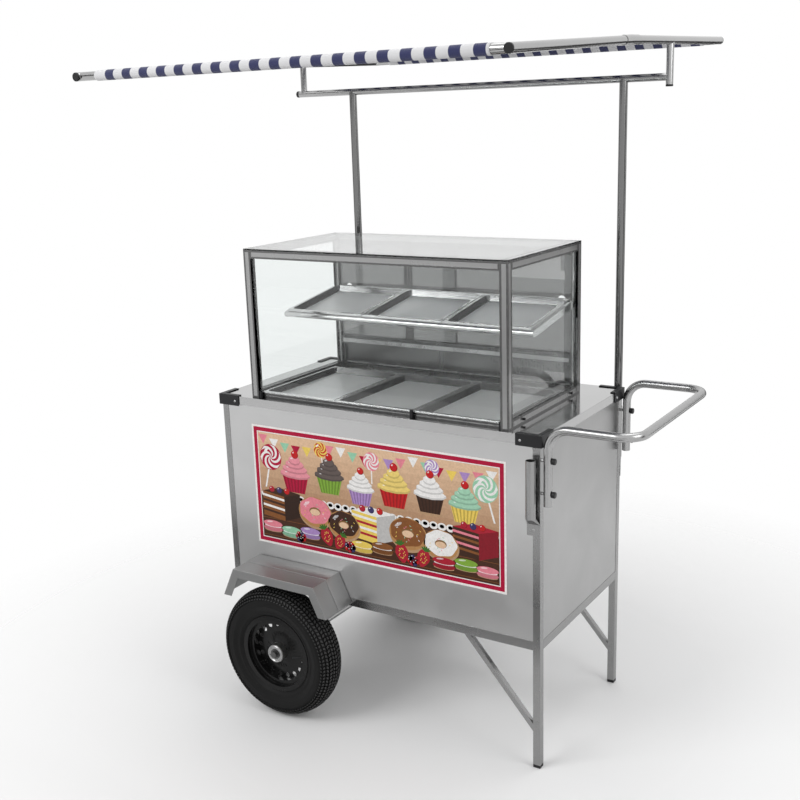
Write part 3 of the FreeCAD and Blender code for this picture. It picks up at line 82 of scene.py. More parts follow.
# %% [markdown]
# ## Making pieces
# Most pieces are made with bmesh operators and then handed over in the same way: the mesh
# becomes an object at the origin, gets its finish, is shaded smooth at edges under 32 degrees,
# and rides on its body. One helper does that, so no piece is left behind when a joint moves.
# %% Hand a mesh over as a piece
SMOOTH_UNDER = 32


def mesh_of(bm, name):
    mesh = bpy.data.meshes.new(name)
    bm.to_mesh(mesh)
    bm.free()
    return mesh


def piece(name, bm, finish, body, slot, replaced=(), angle=SMOOTH_UNDER):
    mesh = mesh_of(bm, name)
    for paint in finish if isinstance(finish, list) else [finish]:
        mesh.materials.append(paint)
    mesh.shade_smooth()
    mesh.set_sharp_from_angle(angle=math.radians(angle))
    made = into_scene(name, mesh)
    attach(made, body)
    if replaced:
        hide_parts(*replaced)
    print(name, len(mesh.polygons), "faces")
    return made


# %% [markdown]
# Folded sheet and extruded tube never end in a knife edge: the press leaves a small radius
# that catches a line of light, and that line is what makes metal look real. A copy of each
# plain solid is merged, its flat facets are joined, and its sharp edges are bevelled. The
# copy then stands for the solid. Weighted normals keep the large faces flat beside their
# rounded edges, which matters most on glass and mirror-bright sheet. Radii are in millimetres.
# %% Copy a solid and round its edges
SHARP = math.radians(40)
SAME_PLANE = math.radians(0.5)


def merged_copy(node):
    bm = bmesh.new()
    bm.from_mesh(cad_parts[node].data)
    bmesh.ops.remove_doubles(bm, verts=bm.verts, dist=2e-6)
    bmesh.ops.dissolve_limit(bm, angle_limit=SAME_PLANE, use_dissolve_boundaries=False, verts=bm.verts,
                             edges=bm.edges)
    return bm


def round_edges(bm, radius, segments=2, sharp_angle=SHARP):
    sharp = [e for e in bm.edges if len(e.link_faces) == 2 and e.calc_face_angle() > sharp_angle]
    bmesh.ops.bevel(bm, geom=sharp, offset=radius * MM, offset_type="OFFSET", segments=segments,
                    profile=0.5, affect="EDGES", clamp_overlap=True, material=-1)


def keep_faces_flat(made):
    flatter = made.modifiers.new("flat_faces_stay_flat", "WEIGHTED_NORMAL")
    flatter.keep_sharp = True
    flatter.weight = 100


def dressed(node, finish, slot, radius, body="chassis", segments=2, name=None):
    bm = merged_copy(node)
    round_edges(bm, radius, segments)
    keep_faces_flat(piece(name or node + "_dressed", bm, finish, body, slot, [node]))


# %% [markdown]
# A finer piece starts from a row of points instead. The row is extruded or spun, and the
# faces are then turned to one side. These helpers are shared by fenders, trays, wheels and
# cloth.
# %% Rows, extrusions and spins
def chain(bm, points):
    """A row of vertices, each joined to the next."""
    row = [bm.verts.new(p) for p in points]
    return row, [bm.edges.new(pair) for pair in zip(row, row[1:])]


def extruded(bm, edges):
    """Extrude edges and give back the new vertices, which still lie on the old ones."""
    grown = bmesh.ops.extrude_edge_only(bm, edges=edges)["geom"]
    return [g for g in grown if isinstance(g, bmesh.types.BMVert)]


def face_up(bm):
    bmesh.ops.recalc_face_normals(bm, faces=bm.faces[:])
    if sum(f.normal.z for f in bm.faces) < 0:
        bmesh.ops.reverse_faces(bm, faces=bm.faces[:])


def spun(section, steps, closed=False):
    """A section of radius and y in millimetres, spun once round the y axis."""
    bm = bmesh.new()
    row, edges = chain(bm, [(r * MM, y * MM, 0) for r, y in section])
    if closed:
        edges.append(bm.edges.new((row[-1], row[0])))
    bmesh.ops.spin(bm, geom=row + edges, cent=(0, 0, 0), axis=(0, 1, 0), angle=math.tau, steps=steps,
                   use_merge=True)
    bmesh.ops.remove_doubles(bm, verts=bm.verts, dist=1e-6)
    bmesh.ops.recalc_face_normals(bm, faces=bm.faces[:])
    return bm


def move(bm, matrix):
    bmesh.ops.transform(bm, matrix=matrix, verts=bm.verts)


def facing(place, way, axis="Z"):
    """Stand at a place with an axis turned along a way."""
    return Matrix.Translation(place) @ Vector(way).to_track_quat(axis, "Y").to_matrix().to_4x4()


def thicken(made, thickness, offset):
    thick = made.modifiers.new("thickness", "SOLIDIFY")
    thick.thickness = thickness
    thick.offset = offset


# %% [markdown]
# ## Shared effects
# Each effect is a shader node group: polishing marks with a soft unevenness, moulded grain
# and dust. A group gives only masks and values, and the shader stays in each material, so one
# effect can serve many finishes at different strengths.
# %% Helpers for node trees
def fill(tree, node, values):
    """Set a node's inputs: another node's output is linked, and anything else is a constant."""
    for key, value in values.items():
        if isinstance(value, bpy.types.NodeSocket):
            tree.links.new(value, node.inputs[key])
        else:
            node.inputs[key].default_value = value
    return node


def add(tree, kind, values=None, **settings):
    node = tree.nodes.new("ShaderNode" + kind)
    for key, value in settings.items():
        setattr(node, key, value)
    return fill(tree, node, values or {})


def math_node(tree, operation, first, second=0.0, clamp=False):
    return add(tree, "Math", {0: first, 1: second}, operation=operation, use_clamp=clamp).outputs[0]


def times(tree, first, second):
    return math_node(tree, "MULTIPLY", first, second)


def vector_times(tree, first, second):
    return add(tree, "VectorMath", {0: first, 1: second}, operation="MULTIPLY").outputs[0]


def spread(tree, value, low, high, to_low=0.0, to_high=1.0):
    """A value from low..high moved to to_low..to_high and held there."""
    ends = {"Value": value, "From Min": low, "From Max": high, "To Min": to_low, "To Max": to_high}
    return add(tree, "MapRange", ends, clamp=True).outputs[0]


def own_place(tree):
    return add(tree, "TexCoord").outputs["Object"]


def cloudy(tree, place, scale, detail, roughness, distortion=0.0):
    """Soft noise round a half, between nought and one."""
    settings = {"Vector": place, "Scale": scale, "Detail": detail, "Roughness": roughness}
    return add(tree, "TexNoise", {**settings, "Distortion": distortion}).outputs["Fac"]


def bump(tree, height, distance, strength, **under):
    """A bump from a height. Normal= lays it over another bump."""
    values = {"Height": height, "Distance": distance, "Strength": strength, **under}
    return add(tree, "Bump", values).outputs[0]


def new_group(name, inputs, outputs):
    tree = bpy.data.node_groups.new(name, "ShaderNodeTree")
    for label, value in inputs.items():
        kind = "NodeSocketFloat" if isinstance(value, float) else "NodeSocketVector"
        tree.interface.new_socket(label, in_out="INPUT", socket_type=kind).default_value = value
    for label in outputs:
        tree.interface.new_socket(label, in_out="OUTPUT", socket_type="NodeSocketFloat")
    print("group", name, "gives", *outputs)
    return tree, tree.nodes.new("NodeGroupInput").outputs, tree.nodes.new("NodeGroupOutput")


# %% [markdown]
# Sheet and tube are polished with long strokes. The marks are noise that is stretched a
# hundredfold along the stroke. A second, very broad noise is the unevenness of thin sheet,
# which bends reflections a little, and a third one is the faint smear that hands and cloths
# leave.
# %% Group: polishing marks
polish, given, out = new_group(
    "polishing_marks", {"Along": (3.0, 900.0, 900.0), "Smear Scale": 5.0}, ("Marks", "Smear", "Wave"))
place = own_place(polish)
fill(polish, out, {
    "Marks": cloudy(polish, vector_times(polish, place, given["Along"]), 1.0, 4.0, 0.65),
    "Smear": cloudy(polish, place, given["Smear Scale"], 5.0, 0.6, 0.6),
    "Wave": cloudy(polish, place, 3.2, 1.0, 0.4)})

# %% [markdown]
# Moulded plastic and rubber have a fine leathery grain from the mould. It is a cell pattern
# with soft edges, and a cloudy noise beside it changes the colour and gloss a little.
# %% Group: moulded grain
mould, given, out = new_group("moulded_grain", {"Scale": 900.0}, ("Grain", "Cloud"))
place = own_place(mould)
cells = add(mould, "TexVoronoi", {"Vector": place, "Scale": given["Scale"], "Randomness": 1.0},
            feature="SMOOTH_F1")
fill(mould, out, {"Grain": cells.outputs["Distance"], "Cloud": cloudy(mould, place, 14.0, 4.0, 0.6)})

# %% [markdown]
# Road dust settles low down and thins out with height. The group gives a mask that is the
# product of a height ramp and broken noise.
# %% Group: dust by height
dust, given, out = new_group("road_dust", {"Top": 0.45, "Scale": 30.0}, ("Dust",))
place = own_place(dust)
height = add(dust, "SeparateXYZ", {0: place}).outputs["Z"]
low = math_node(dust, "SUBTRACT", 1.0, math_node(dust, "DIVIDE", height, given["Top"]), clamp=True)
patchy = spread(dust, cloudy(dust, place, given["Scale"], 6.0, 0.7), 0.4, 0.75)
fill(dust, out, {"Dust": times(dust, low, patchy)})

# %% [markdown]
# ## Metals
# All the metals are one recipe with different numbers: colour, roughness, the way the
# polishing strokes run, and how far the sheet waves. Dust dulls the hubs, which are near the
# floor.
# %% Recipe for polished metal
MARK_DEPTH = 0.005 * MM
DUST_COLOUR = (0.33, 0.30, 0.26, 1)


def grey(tone):
    return (tone, tone, tone)


def darker(colour, share):
    return tuple(c * share for c in colour)


def blank(name):
    made = bpy.data.materials.new(name)
    made.use_nodes = True
    print("material", name)
    return made, made.node_tree, made.node_tree.nodes["Principled BSDF"]


def group_node(tree, group, values):
    node = tree.nodes.new("ShaderNodeGroup")
    node.node_tree = group
    return fill(tree, node, values).outputs


def mixed(tree, factor, first, second):
    return add(tree, "Mix", {0: factor, 6: first, 7: second}, data_type="RGBA").outputs[2]


def metal(name, colour, rough, along, wave_depth=0.0, dust_top=0.0, smear=0.08, metallic=1.0):
    made, tree, shader = blank(name)
    polished = group_node(tree, polish, {"Along": along})
    tint = mixed(tree, polished["Smear"], (*colour, 1), (*darker(colour, 0.88), 1))
    gloss = spread(tree, polished["Smear"], 0.35, 0.7, rough, rough + smear)
    gloss = math_node(tree, "ADD", gloss, times(tree, polished["Marks"], 0.05))
    if dust_top:
        dirt = group_node(tree, dust, {"Top": dust_top})
        share = times(tree, dirt["Dust"], 0.5)
        tint = mixed(tree, share, tint, DUST_COLOUR)
        gloss = math_node(tree, "ADD", gloss, share)
    waves = {"Normal": bump(tree, polished["Wave"], wave_depth, 0.5)} if wave_depth else {}
    fill(tree, shader, {"Base Color": tint, "Roughness": gloss, "Metallic": metallic,
                        "Normal": bump(tree, polished["Marks"], MARK_DEPTH, 0.6, **waves)})
    return made


# %% [markdown]
# Thin sheet waves by about a millimetre and tube does not. The greys are the tones that the real trolley
# shows, so tubes that mirror the dark side of the room are darker than sheet: that darker grey is painted
# reflection in the steel's colour.
# %% Sheet, tube, trays and fasteners
ALONG_X, ALONG_Y, ALONG_Z = (4.0, 700.0, 700.0), (700.0, 4.0, 700.0), (700.0, 700.0, 4.0)
panel_steel = metal("panel_steel", grey(0.63), 0.26, ALONG_X, wave_depth=1.0 * MM)
# The side panels are the front panel's sheet with a darker grey: painted shade on the sides.
side_steel_painted_shade = metal("side_steel_painted_shade", grey(0.45), 0.28, ALONG_Z, wave_depth=1.0 * MM)
worktop_steel = metal("worktop_steel", grey(0.48), 0.08, ALONG_X, wave_depth=1.5 * MM, smear=0.04)
# Frame, rail and tube greys below the sheet's are painted reflection of a dark room.
frame_steel = metal("frame_steel", grey(0.34), 0.2, ALONG_Z)
rail_steel = metal("rail_steel", grey(0.34), 0.2, ALONG_X)
fender_steel = metal("fender_steel", grey(0.38), 0.34, ALONG_X, wave_depth=1.0 * MM)
bright_tube = metal("bright_tube", grey(0.42), 0.2, ALONG_Z, smear=0.04)
# The poles are the handle's tube with a much darker grey: painted reflection.
pole_tube_painted_reflection = metal("pole_tube_painted_reflection", grey(0.21), 0.1, ALONG_Z, smear=0.04)
canopy_tube = metal("canopy_tube", grey(0.44), 0.12, ALONG_Y, smear=0.04)
tray_steel = metal("tray_steel", grey(0.60), 0.06, ALONG_Y, wave_depth=1.0 * MM, smear=0.04)
# Rim, wall and floor are one pressed sheet. The wall's darker grey is painted shade inside the bowl, and the
# floor's whiter, less metallic colour is painted light; its higher roughness makes it satin.
tray_wall_painted_shade = metal("tray_wall_painted_shade", grey(0.22), 0.1, ALONG_Z, smear=0.04)
tray_floor_painted_light = metal("tray_floor_painted_light", grey(0.95), 0.34, ALONG_Y, metallic=0.35)
# The axle nuts are the fasteners' steel with a much darker grey: painted shade.
bolt_steel_painted_shade = metal("bolt_steel_painted_shade", grey(0.13), 0.25, ALONG_Y)
fastener_steel = metal("fastener_steel", grey(0.42), 0.2, ALONG_Y)
hub_steel = metal("hub_steel", (0.42, 0.42, 0.41), 0.24, ALONG_Y, dust_top=0.3)
# The case profile's dark grey is painted reflection, and its channel floors' lighter grey is a painted
# highlight.
case_channel_painted_highlight = metal("case_channel_painted_highlight", grey(0.42), 0.24, ALONG_Z, smear=0.05)
case_profile = metal("case_profile", grey(0.17), 0.22, ALONG_Z, smear=0.05)

# %% [markdown]
# ## Rubber, plastic and paint
# These share the moulded grain. Tyre rubber is nearly black on the sidewall and scuffed to a
# dark grey on the tread. The guards and caps are a harder, slightly glossier black, and the
# rims are sprayed black enamel, smooth but with a faint orange peel.
# %% Recipe for moulded black
def moulded(name, colour, rough, scale, depth, coat=0.0, sheen=0.0, shine=0.25):
    made, tree, shader = blank(name)
    grain = group_node(tree, mould, {"Scale": scale})
    light = [min(1, c * 1.7 + 0.003) for c in colour]
    fill(tree, shader, {
        "Base Color": mixed(tree, grain["Cloud"], (*colour, 1), (*light, 1)),
        "Roughness": spread(tree, grain["Cloud"], 0.3, 0.7, rough - 0.05, rough + 0.1),
        "Specular IOR Level": shine, "Coat Weight": coat, "Coat Roughness": 0.12, "Sheen Weight": sheen,
        "Normal": bump(tree, grain["Grain"], depth * MM, 0.5)})
    return made


tyre_rubber = moulded("tyre_rubber", grey(0.004), 0.5, 700.0, 0.3, shine=0.16)
tread_rubber = moulded("tread_rubber", grey(0.026), 0.6, 700.0, 0.3, shine=0.3)
rim_enamel = moulded("rim_enamel", grey(0.003), 0.2, 260.0, 0.02, coat=0.04, shine=0.2)
black_plastic = moulded("black_plastic", (0.012, 0.012, 0.013), 0.36, 1500.0, 0.1)
black_rubber = moulded("black_rubber", (0.014, 0.014, 0.015), 0.6, 1200.0, 0.1)

# %% [markdown]
# ## Glass
# The panes are clear float glass, with the green cast that shows at their edges. The tint is
# on the shader, and faint wiping streaks change only the roughness.
# %% Pane glass
case_glass, tree, shader = blank("case_glass")
wiped = group_node(tree, polish, {"Along": (2.0, 9.0, 30.0), "Smear Scale": 3.0})
fill(tree, shader, {"Transmission Weight": 1.0, "IOR": 1.45, "Base Color": (0.965, 0.985, 0.98, 1),
                    "Roughness": spread(tree, wiped["Smear"], 0.5, 0.8, 0.0, 0.02)})

# %% [markdown]
# The sliding doors on the seller's side look grey from the front, and they mirror the trays.
# Their grey tint is painted shade. Their index of refraction is set above acrylic's real 1.49,
# which makes the mirror image of the trays as strong as it should be.
# %% Grey acrylic for the case doors, its tint painted shade
door_acrylic_painted_shade, tree, shader = blank("door_acrylic_painted_shade")
fill(tree, shader, {"Transmission Weight": 1.0, "IOR": 2.2, "Base Color": (*grey(0.11), 1), "Roughness": 0.0})

# %% [markdown]
# ## Canvas cloth
# The canvas is a plain weave of thick yarn, with blue and white stripes that run from front to
# back. The weave and the stripes follow the sheet's own UV map, which holds metres across and
# along the cloth, so they turn round the tube with it.
# %% Striped canvas
STRIPE_PITCH, STRIPE_START = 0.055, 0.0105
YARNS_PER_METRE = 1400.0
canvas, tree, shader = blank("striped_canvas")
cloth = add(tree, "SeparateXYZ", {0: add(tree, "UVMap", uv_map="cloth").outputs[0]}).outputs
wobble = cloudy(tree, own_place(tree), 9.0, 2.0, 0.5)
strayed = times(tree, math_node(tree, "SUBTRACT", wobble, 0.5), 1.2 * MM)
start = math_node(tree, "SUBTRACT", math_node(tree, "ADD", cloth["X"], strayed), STRIPE_START)
stripe = math_node(tree, "FRACT", math_node(tree, "DIVIDE", start, STRIPE_PITCH))
past_hem = spread(tree, cloth["X"], 0.010, STRIPE_START)
is_blue = times(tree, spread(tree, stripe, 0.495, 0.51), spread(tree, stripe, 0.985, 1.0, 1.0, 0.0))
is_blue = times(tree, is_blue, past_hem)
warp, weft = (math_node(tree, "SINE", times(tree, cloth[way], YARNS_PER_METRE * math.pi))
              for way in ("X", "Y"))
weave = times(tree, warp, weft)
blue = mixed(tree, wobble, (0.012, 0.016, 0.085, 1), (0.020, 0.026, 0.12, 1))
white = mixed(tree, wobble, (0.74, 0.74, 0.76, 1), (0.84, 0.84, 0.85, 1))
thread = spread(tree, weave, -1.0, 1.0, 0.82, 1.0)
fill(tree, shader, {"Base Color": vector_times(tree, mixed(tree, is_blue, white, blue), thread),
                    "Roughness": 0.8, "Sheen Weight": 0.25, "Sheen Roughness": 0.5,
                    "Normal": bump(tree, weave, 0.25 * MM, 0.6)})

# %% [markdown]
# ## Printed vinyl
# The sheet on the front is an ink-jet print on self-adhesive vinyl under a satin laminate. Its
# picture is made of flat shapes with the ink in a colour attribute, and a fine dot screen and
# the laminate's slight ripple come from the shader.
# %% Printed vinyl
printed_vinyl, tree, shader = blank("printed_vinyl")
ink = add(tree, "VertexColor", layer_name="ink").outputs["Color"]
place = own_place(tree)
dots = add(tree, "TexVoronoi", {"Vector": place, "Scale": 900.0, "Randomness": 0.2}).outputs["Distance"]
mottle = cloudy(tree, place, 160.0, 5.0, 0.7)
screen = times(tree, spread(tree, dots, 0.2, 0.6, 1.0, 0.9), spread(tree, mottle, 0.3, 0.7, 0.86, 1.1))
fill(tree, shader, {"Base Color": vector_times(tree, ink, screen), "Roughness": 0.4,
                    "Specular IOR Level": 0.2, "Coat Weight": 0.08, "Coat Roughness": 0.12,
                    "Normal": bump(tree, mottle, 0.03 * MM, 0.3)})

# %% [markdown]
# ## Cabinet
# The cabinet is square tube with sheet between. Its solids have the right shape already, so
# they are dressed: a copy with rounded edges stands for each. The panels are nearly flush
# with the posts, which leaves a hairline of shadow round each sheet.
# %% Cabinet sheets, posts and rails
for node, finish, slot, radius in (
    ("corner_posts", frame_steel, "frame_steel", 1.6),
    ("cabinet_rails", rail_steel, "frame_steel", 1.2),
    ("braces", frame_steel, "frame_steel", 1.0),
    ("axle_brackets", frame_steel, "frame_steel", 1.0),
    ("cabinet_tracks", rail_steel, "frame_steel", 0.2),
    ("front_panel", panel_steel, "panel_steel", 0.3),
    # the side panels' darker grey is painted shade
    ("side_panels", side_steel_painted_shade, "panel_steel", 0.3),
    ("back_panel", panel_steel, "panel_steel", 0.3),
    ("floor_panel", panel_steel, "panel_steel", 0.3),
    ("worktop", worktop_steel, "worktop_steel", 0.55),
    ("corner_guards", black_plastic, "black_plastic", 1.2),
    ("leg_feet", black_plastic, "black_plastic", 1.2),
    # the axle nuts' dark grey is painted shade
    ("axle_nuts", bolt_steel_painted_shade, "fastener_steel", 0.5),
    ("axle", fastener_steel, "fastener_steel", 0.8),
    ("pole_sockets", frame_steel, "bright_tube", 0.3),
    ("handle_knobs", black_plastic, "black_plastic", 2.0),
    ("handle_bolts", fastener_steel, "fastener_steel", 0.2),
    ("tray_clips", black_rubber, "black_rubber", 0.5),
):
    dressed(node, finish, slot, radius, segments=3 if radius > 1 else 2)
for door in ("cabinet_door_left", "cabinet_door_right"):
    dressed(door, panel_steel, "panel_steel", 0.35, door)

# %% [markdown]
# Each fender is two sheets that overlap along the middle of its top. The edge of the upper
# sheet runs over the top and down both flaps, and catches a bright line all the way. The
# upper sheet is the fender's side line, pulled across to the cabinet and given its thickness.
# %% Fenders with their upper sheet
FENDER_LINE = [(-0.5136, 0.3424), (-0.47475, 0.425), (-0.19675, 0.425), (-0.1579, 0.3424)]
UPPER_THICK, UPPER_GAP = 1.5 * MM, 0.1 * MM
for side, seam_y, cabinet_y in (("front", -0.366, -0.3032), ("back", 0.291, 0.2282)):
    node = "fender_" + side
    dressed(node, fender_steel, "fender_steel", 0.7, segments=3)
    bm = bmesh.new()
    row, line = chain(bm, [(x, seam_y, z + UPPER_GAP) for x, z in FENDER_LINE])
    for v in extruded(bm, line):
        v.co.y = cabinet_y
    face_up(bm)
    upper = piece(node + "_upper_sheet", bm, fender_steel, "chassis", "fender_steel", angle=20)
    thicken(upper, UPPER_THICK, 1)
    soft = upper.modifiers.new("soft_edges", "BEVEL")
    soft.width = 0.6 * MM
    soft.segments = 2
    soft.limit_method = "ANGLE"

# %% [markdown]
# ## Rivets and screws
# A blind rivet or a truss-head screw has a low dome with a small flat under it. Half a sphere,
# flattened and with its rim kept, is enough at this size. Each head stands where the solid's
# plain one is: the solids are split into their separate heads, and each head's middle and
# shortest side place a dome, which points away from the middle of the trolley.
# %% Domed heads
TROLLEY_MIDDLE = (-0.08, -0.04, -0.04)


def loose_parts(bm):
    left = set(bm.verts)
    while left:
        group, queue = [], [left.pop()]
        while queue:
            v = queue.pop()
            group.append(v)
            for e in v.link_edges:
                o = e.other_vert(v)
                if o in left:
                    left.remove(o)
                    queue.append(o)
        yield group


def dome_at(bm, spot, way, radius, height):
    """Half a sphere with a flat foot, standing on spot and pointing along way."""
    half = bmesh.new()
    bmesh.ops.create_uvsphere(half, u_segments=20, v_segments=12, radius=radius,
                              matrix=facing(spot, way) @ Matrix.Diagonal((1, 1, height / radius, 1)))
    bmesh.ops.bisect_plane(half, geom=half.verts[:] + half.edges[:] + half.faces[:], plane_co=spot,
                           plane_no=way, clear_inner=True)
    bmesh.ops.holes_fill(half, edges=[e for e in half.edges if e.is_boundary])
    kept = mesh_of(half, "dome")
    bm.from_mesh(kept)
    bpy.data.meshes.remove(kept)


heads = merged_copy("dome_screws")
bm = bmesh.new()
for group in loose_parts(heads):
    rows = [[v.co[axis] for v in group] for axis in range(3)]
    spans = [max(row) - min(row) for row in rows]
    middle = Vector([(max(row) + min(row)) / 2 for row in rows])
    axis = spans.index(min(spans))
    way = Vector((0, 0, 0))
    way[axis] = 1 if middle[axis] > TROLLEY_MIDDLE[axis] else -1
    dome_at(bm, middle - way * spans[axis] / 2, way, max(spans) / 2, spans[axis])
heads.free()
piece("rivets_and_screws", bm, fastener_steel, "chassis", "fastener_steel", ["dome_screws"],
      angle=60)

# %% [markdown]
# ## Display case
# The case is extruded aluminium profile, mitred and screwed, with float glass in its grooves.
# The tracks and the panes are dressed copies. A ground pane edge is bevelled a little more
# than sheet metal, and that is where the green shows.
# %% Tracks and panes
for node, finish, slot, radius in (
    ("case_tracks", case_profile, "case_profile", 0.2),
    ("case_back_strip", case_profile, "case_profile", 0.2),
    ("shelf_frame", tray_steel, "tray_steel", 0.4),
    ("case_front_glass", case_glass, "case_glass", 0.5),
    ("case_left_glass", case_glass, "case_glass", 0.5),
    ("case_right_glass", case_glass, "case_glass", 0.5),
    ("case_top_glass", case_glass, "case_glass", 0.6),
):
    dressed(node, finish, slot, radius)
for door in ("case_door_left", "case_door_right"):
    # The doors' grey tint is painted shade.
    dressed(door, door_acrylic_painted_shade, "case_glass", 0.5, door)

# %% [markdown]
# Case profile is extruded with a shallow channel along each face. The channel's floor gets a lighter grey
# than the lips beside it, a painted highlight, so each face shows as a light band between two dark lines.
# The long faces of the frame are inset and sunk before the edges are rounded.
# %% Channels in the case frame
CHANNEL_LIP, CHANNEL_WALL, CHANNEL_DEPTH = 4.5 * MM, 0.5 * MM, 0.9 * MM
LONG_FACE_AREA = 0.0035
bm = merged_copy("case_frame")
long_faces = [f for f in bm.faces if f.calc_area() > LONG_FACE_AREA]
for thickness, depth in ((CHANNEL_LIP, 0), (CHANNEL_WALL, -CHANNEL_DEPTH)):
    bmesh.ops.inset_individual(bm, faces=long_faces, thickness=thickness, depth=depth, use_even_offset=True)
# The channel floors take the second finish, the painted highlight.
for f in long_faces:
    f.material_index = 1
round_edges(bm, 0.35)
keep_faces_flat(piece("case_frame_channelled", bm, [case_profile, case_channel_painted_highlight], "chassis", "case_profile",
                      ["case_frame"]))

# %% [markdown]
# ## Trays
# A pastry tray is pressed from one sheet: a bowl with round corners, a flat rim, and a skirt
# folded down round it. The bowl's mouth is a rounded rectangle. Its outer edge is drawn out to
# the square rim and folded down, its face is inset and sunk to make the wall and the floor,
# and the whole sheet gets its thickness at the end.
# %% Press a tray
MOUTH_CORNER, CORNER_STEPS = 13 * MM, 8
FLANGE, SLOPE, FALL, SKIRT, TRAY_THICK = 9.5 * MM, 8.5 * MM, 16.5 * MM, 5.2 * MM, 0.9 * MM
FOLD_ANGLE = math.radians(18)


def tray_sheet(width, depth):
    """The tray's top surface, its rim's front left corner at the origin and the rim at z 0."""
    bm = bmesh.new()
    far_x, far_y = width - FLANGE, depth - FLANGE
    spots = [(FLANGE, FLANGE), (far_x, FLANGE), (far_x, far_y), (FLANGE, far_y)]
    bm.faces.new([bm.verts.new((x, y, 0)) for x, y in spots])
    bmesh.ops.bevel(bm, geom=bm.verts[:], offset=MOUTH_CORNER, segments=CORNER_STEPS, profile=0.5,
                    affect="VERTICES", material=-1, clamp_overlap=False)
    mouth = max(bm.faces, key=lambda f: f.calc_area())
    for v in extruded(bm, mouth.edges[:]):
        core = Vector((max(FLANGE + MOUTH_CORNER, min(far_x - MOUTH_CORNER, v.co.x)),
                       max(FLANGE + MOUTH_CORNER, min(far_y - MOUTH_CORNER, v.co.y)), 0))
        way = v.co - core
        reach = [((size if step > 0 else 0) - start) / step
                 for size, step, start in zip((width, depth), way, core) if abs(step) > 1e-6]
        v.co = core + way * min(reach)
    for v in extruded(bm, [e for e in bm.edges if e.is_boundary]):
        v.co.z -= SKIRT
    # The walls take the third finish, with painted shade, and the floor the second, with painted light.
    for f in bmesh.ops.inset_region(bm, faces=[mouth], thickness=SLOPE, depth=0)["faces"]:
        f.material_index = 2
    for v in mouth.verts:
        v.co.z -= FALL
    face_up(bm)
    mouth.material_index = 1
    round_edges(bm, 1.0, 3, FOLD_ANGLE)
    bmesh.ops.solidify(bm, geom=bm.faces[:], thickness=TRAY_THICK)
    return bm


# %% [markdown]
# The lower trays lie level in the case. The upper ones lie in the shelf frame, which leans
# towards the customer, so each is pressed at the origin, turned and lifted onto the frame.
# %% Six trays in their places
SHELF_TILT = math.radians(8.7)
SHELF_FRONT_Y, SHELF_FRONT_Z, SHELF_TRAY_DEPTH, RIM_HEIGHT = -0.13667, 1.11498, 0.25, 6 * MM
for side in ("left", "middle", "right"):
    for level in ("base", "shelf"):
        node = level + "_tray_" + side
        low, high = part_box(node)
        if level == "base":
            bm = tray_sheet(high[0] - low[0], high[1] - low[1])
            move(bm, Matrix.Translation((low[0], low[1], high[2])))
        else:
            bm = tray_sheet(high[0] - low[0], SHELF_TRAY_DEPTH)
            tilt = Matrix.Rotation(SHELF_TILT, 4, "X") @ Matrix.Translation((0, 0, RIM_HEIGHT))
            move(bm, Matrix.Translation((low[0], SHELF_FRONT_Y, SHELF_FRONT_Z)) @ tilt)
        # One sheet in three greys: the floor's is painted light and the wall's painted shade.
        piece(node + "_pressed", bm, [tray_steel, tray_floor_painted_light, tray_wall_painted_shade], node, "tray_steel", [node],
              angle=50)

# %% [markdown]
# ## Tyres
# A barrow tyre is moulded in one piece, with rounded sidewalls, a few raised rings and a fine
# tread that wraps over the shoulders. Its section is drawn once, as radius and distance from
# the middle in millimetres, and spun round the axle. Each face of the tread becomes one block:
# it is inset, which leaves the grooves, and raised. Every other row is turned by half a block
# first, so the grooves run in zigzag.
# %% Spin a tyre and raise its blocks
AXLE_X, AXLE_Z = -0.34775, 0.190
SIDEWALL = [(101.6, 25), (101.6, 31), (113.6, 31), (116, 33.2), (121, 36.2), (123, 38.0), (126, 38.5),
            (128, 37.9), (134, 40.2), (142, 42.6), (144, 43.3), (146, 43.3), (148, 43.2), (154, 43.8),
            (158.5, 43.5), (162, 42.0)]
CROWN = [(168.0, 38.8), (174.4, 33.2), (179.4, 25.0), (182.4, 14.8), (183.8, 5.0)]
INSIDE = [(173, -25), (173, 25)]
TYRE_STEPS = 104
TREAD_FROM = 163.5 * MM
GROOVE, BLOCK_SLOPE, BLOCK_LIFT = 1.3 * MM, 0.5 * MM, 5.0 * MM


def tyre(side, middle_y):
    half = SIDEWALL + CROWN
    bm = spun(half + [(r, -y) for r, y in reversed(half)] + INSIDE, TYRE_STEPS, closed=True)
    half_step = Matrix.Rotation(math.pi / TYRE_STEPS, 3, "Y")
    for _, y in CROWN[::2]:
        near = [v for v in bm.verts
                if abs(abs(v.co.y) - y * MM) < 1e-5 and math.hypot(v.co.x, v.co.z) > TREAD_FROM]
        bmesh.ops.rotate(bm, cent=(0, 0, 0), matrix=half_step, verts=near)
    tread = []
    for f in bm.faces:
        spoke = f.calc_center_median() * Vector((1, 0, 1))
        if spoke.length > TREAD_FROM and f.normal.dot(spoke) > 0:
            tread.append(f)
    for thickness, depth in ((GROOVE, 0), (BLOCK_SLOPE, BLOCK_LIFT)):
        bmesh.ops.inset_individual(bm, faces=tread, thickness=thickness, depth=depth, use_even_offset=True)
    for f in tread:
        f.material_index = 1
    move(bm, Matrix.Translation((AXLE_X, middle_y, AXLE_Z)))
    node, body = side + "_tyre", side + "_wheel"
    piece(node + "_moulded", bm, [tyre_rubber, tread_rubber], body, "tyre_rubber", [node],
          angle=38)


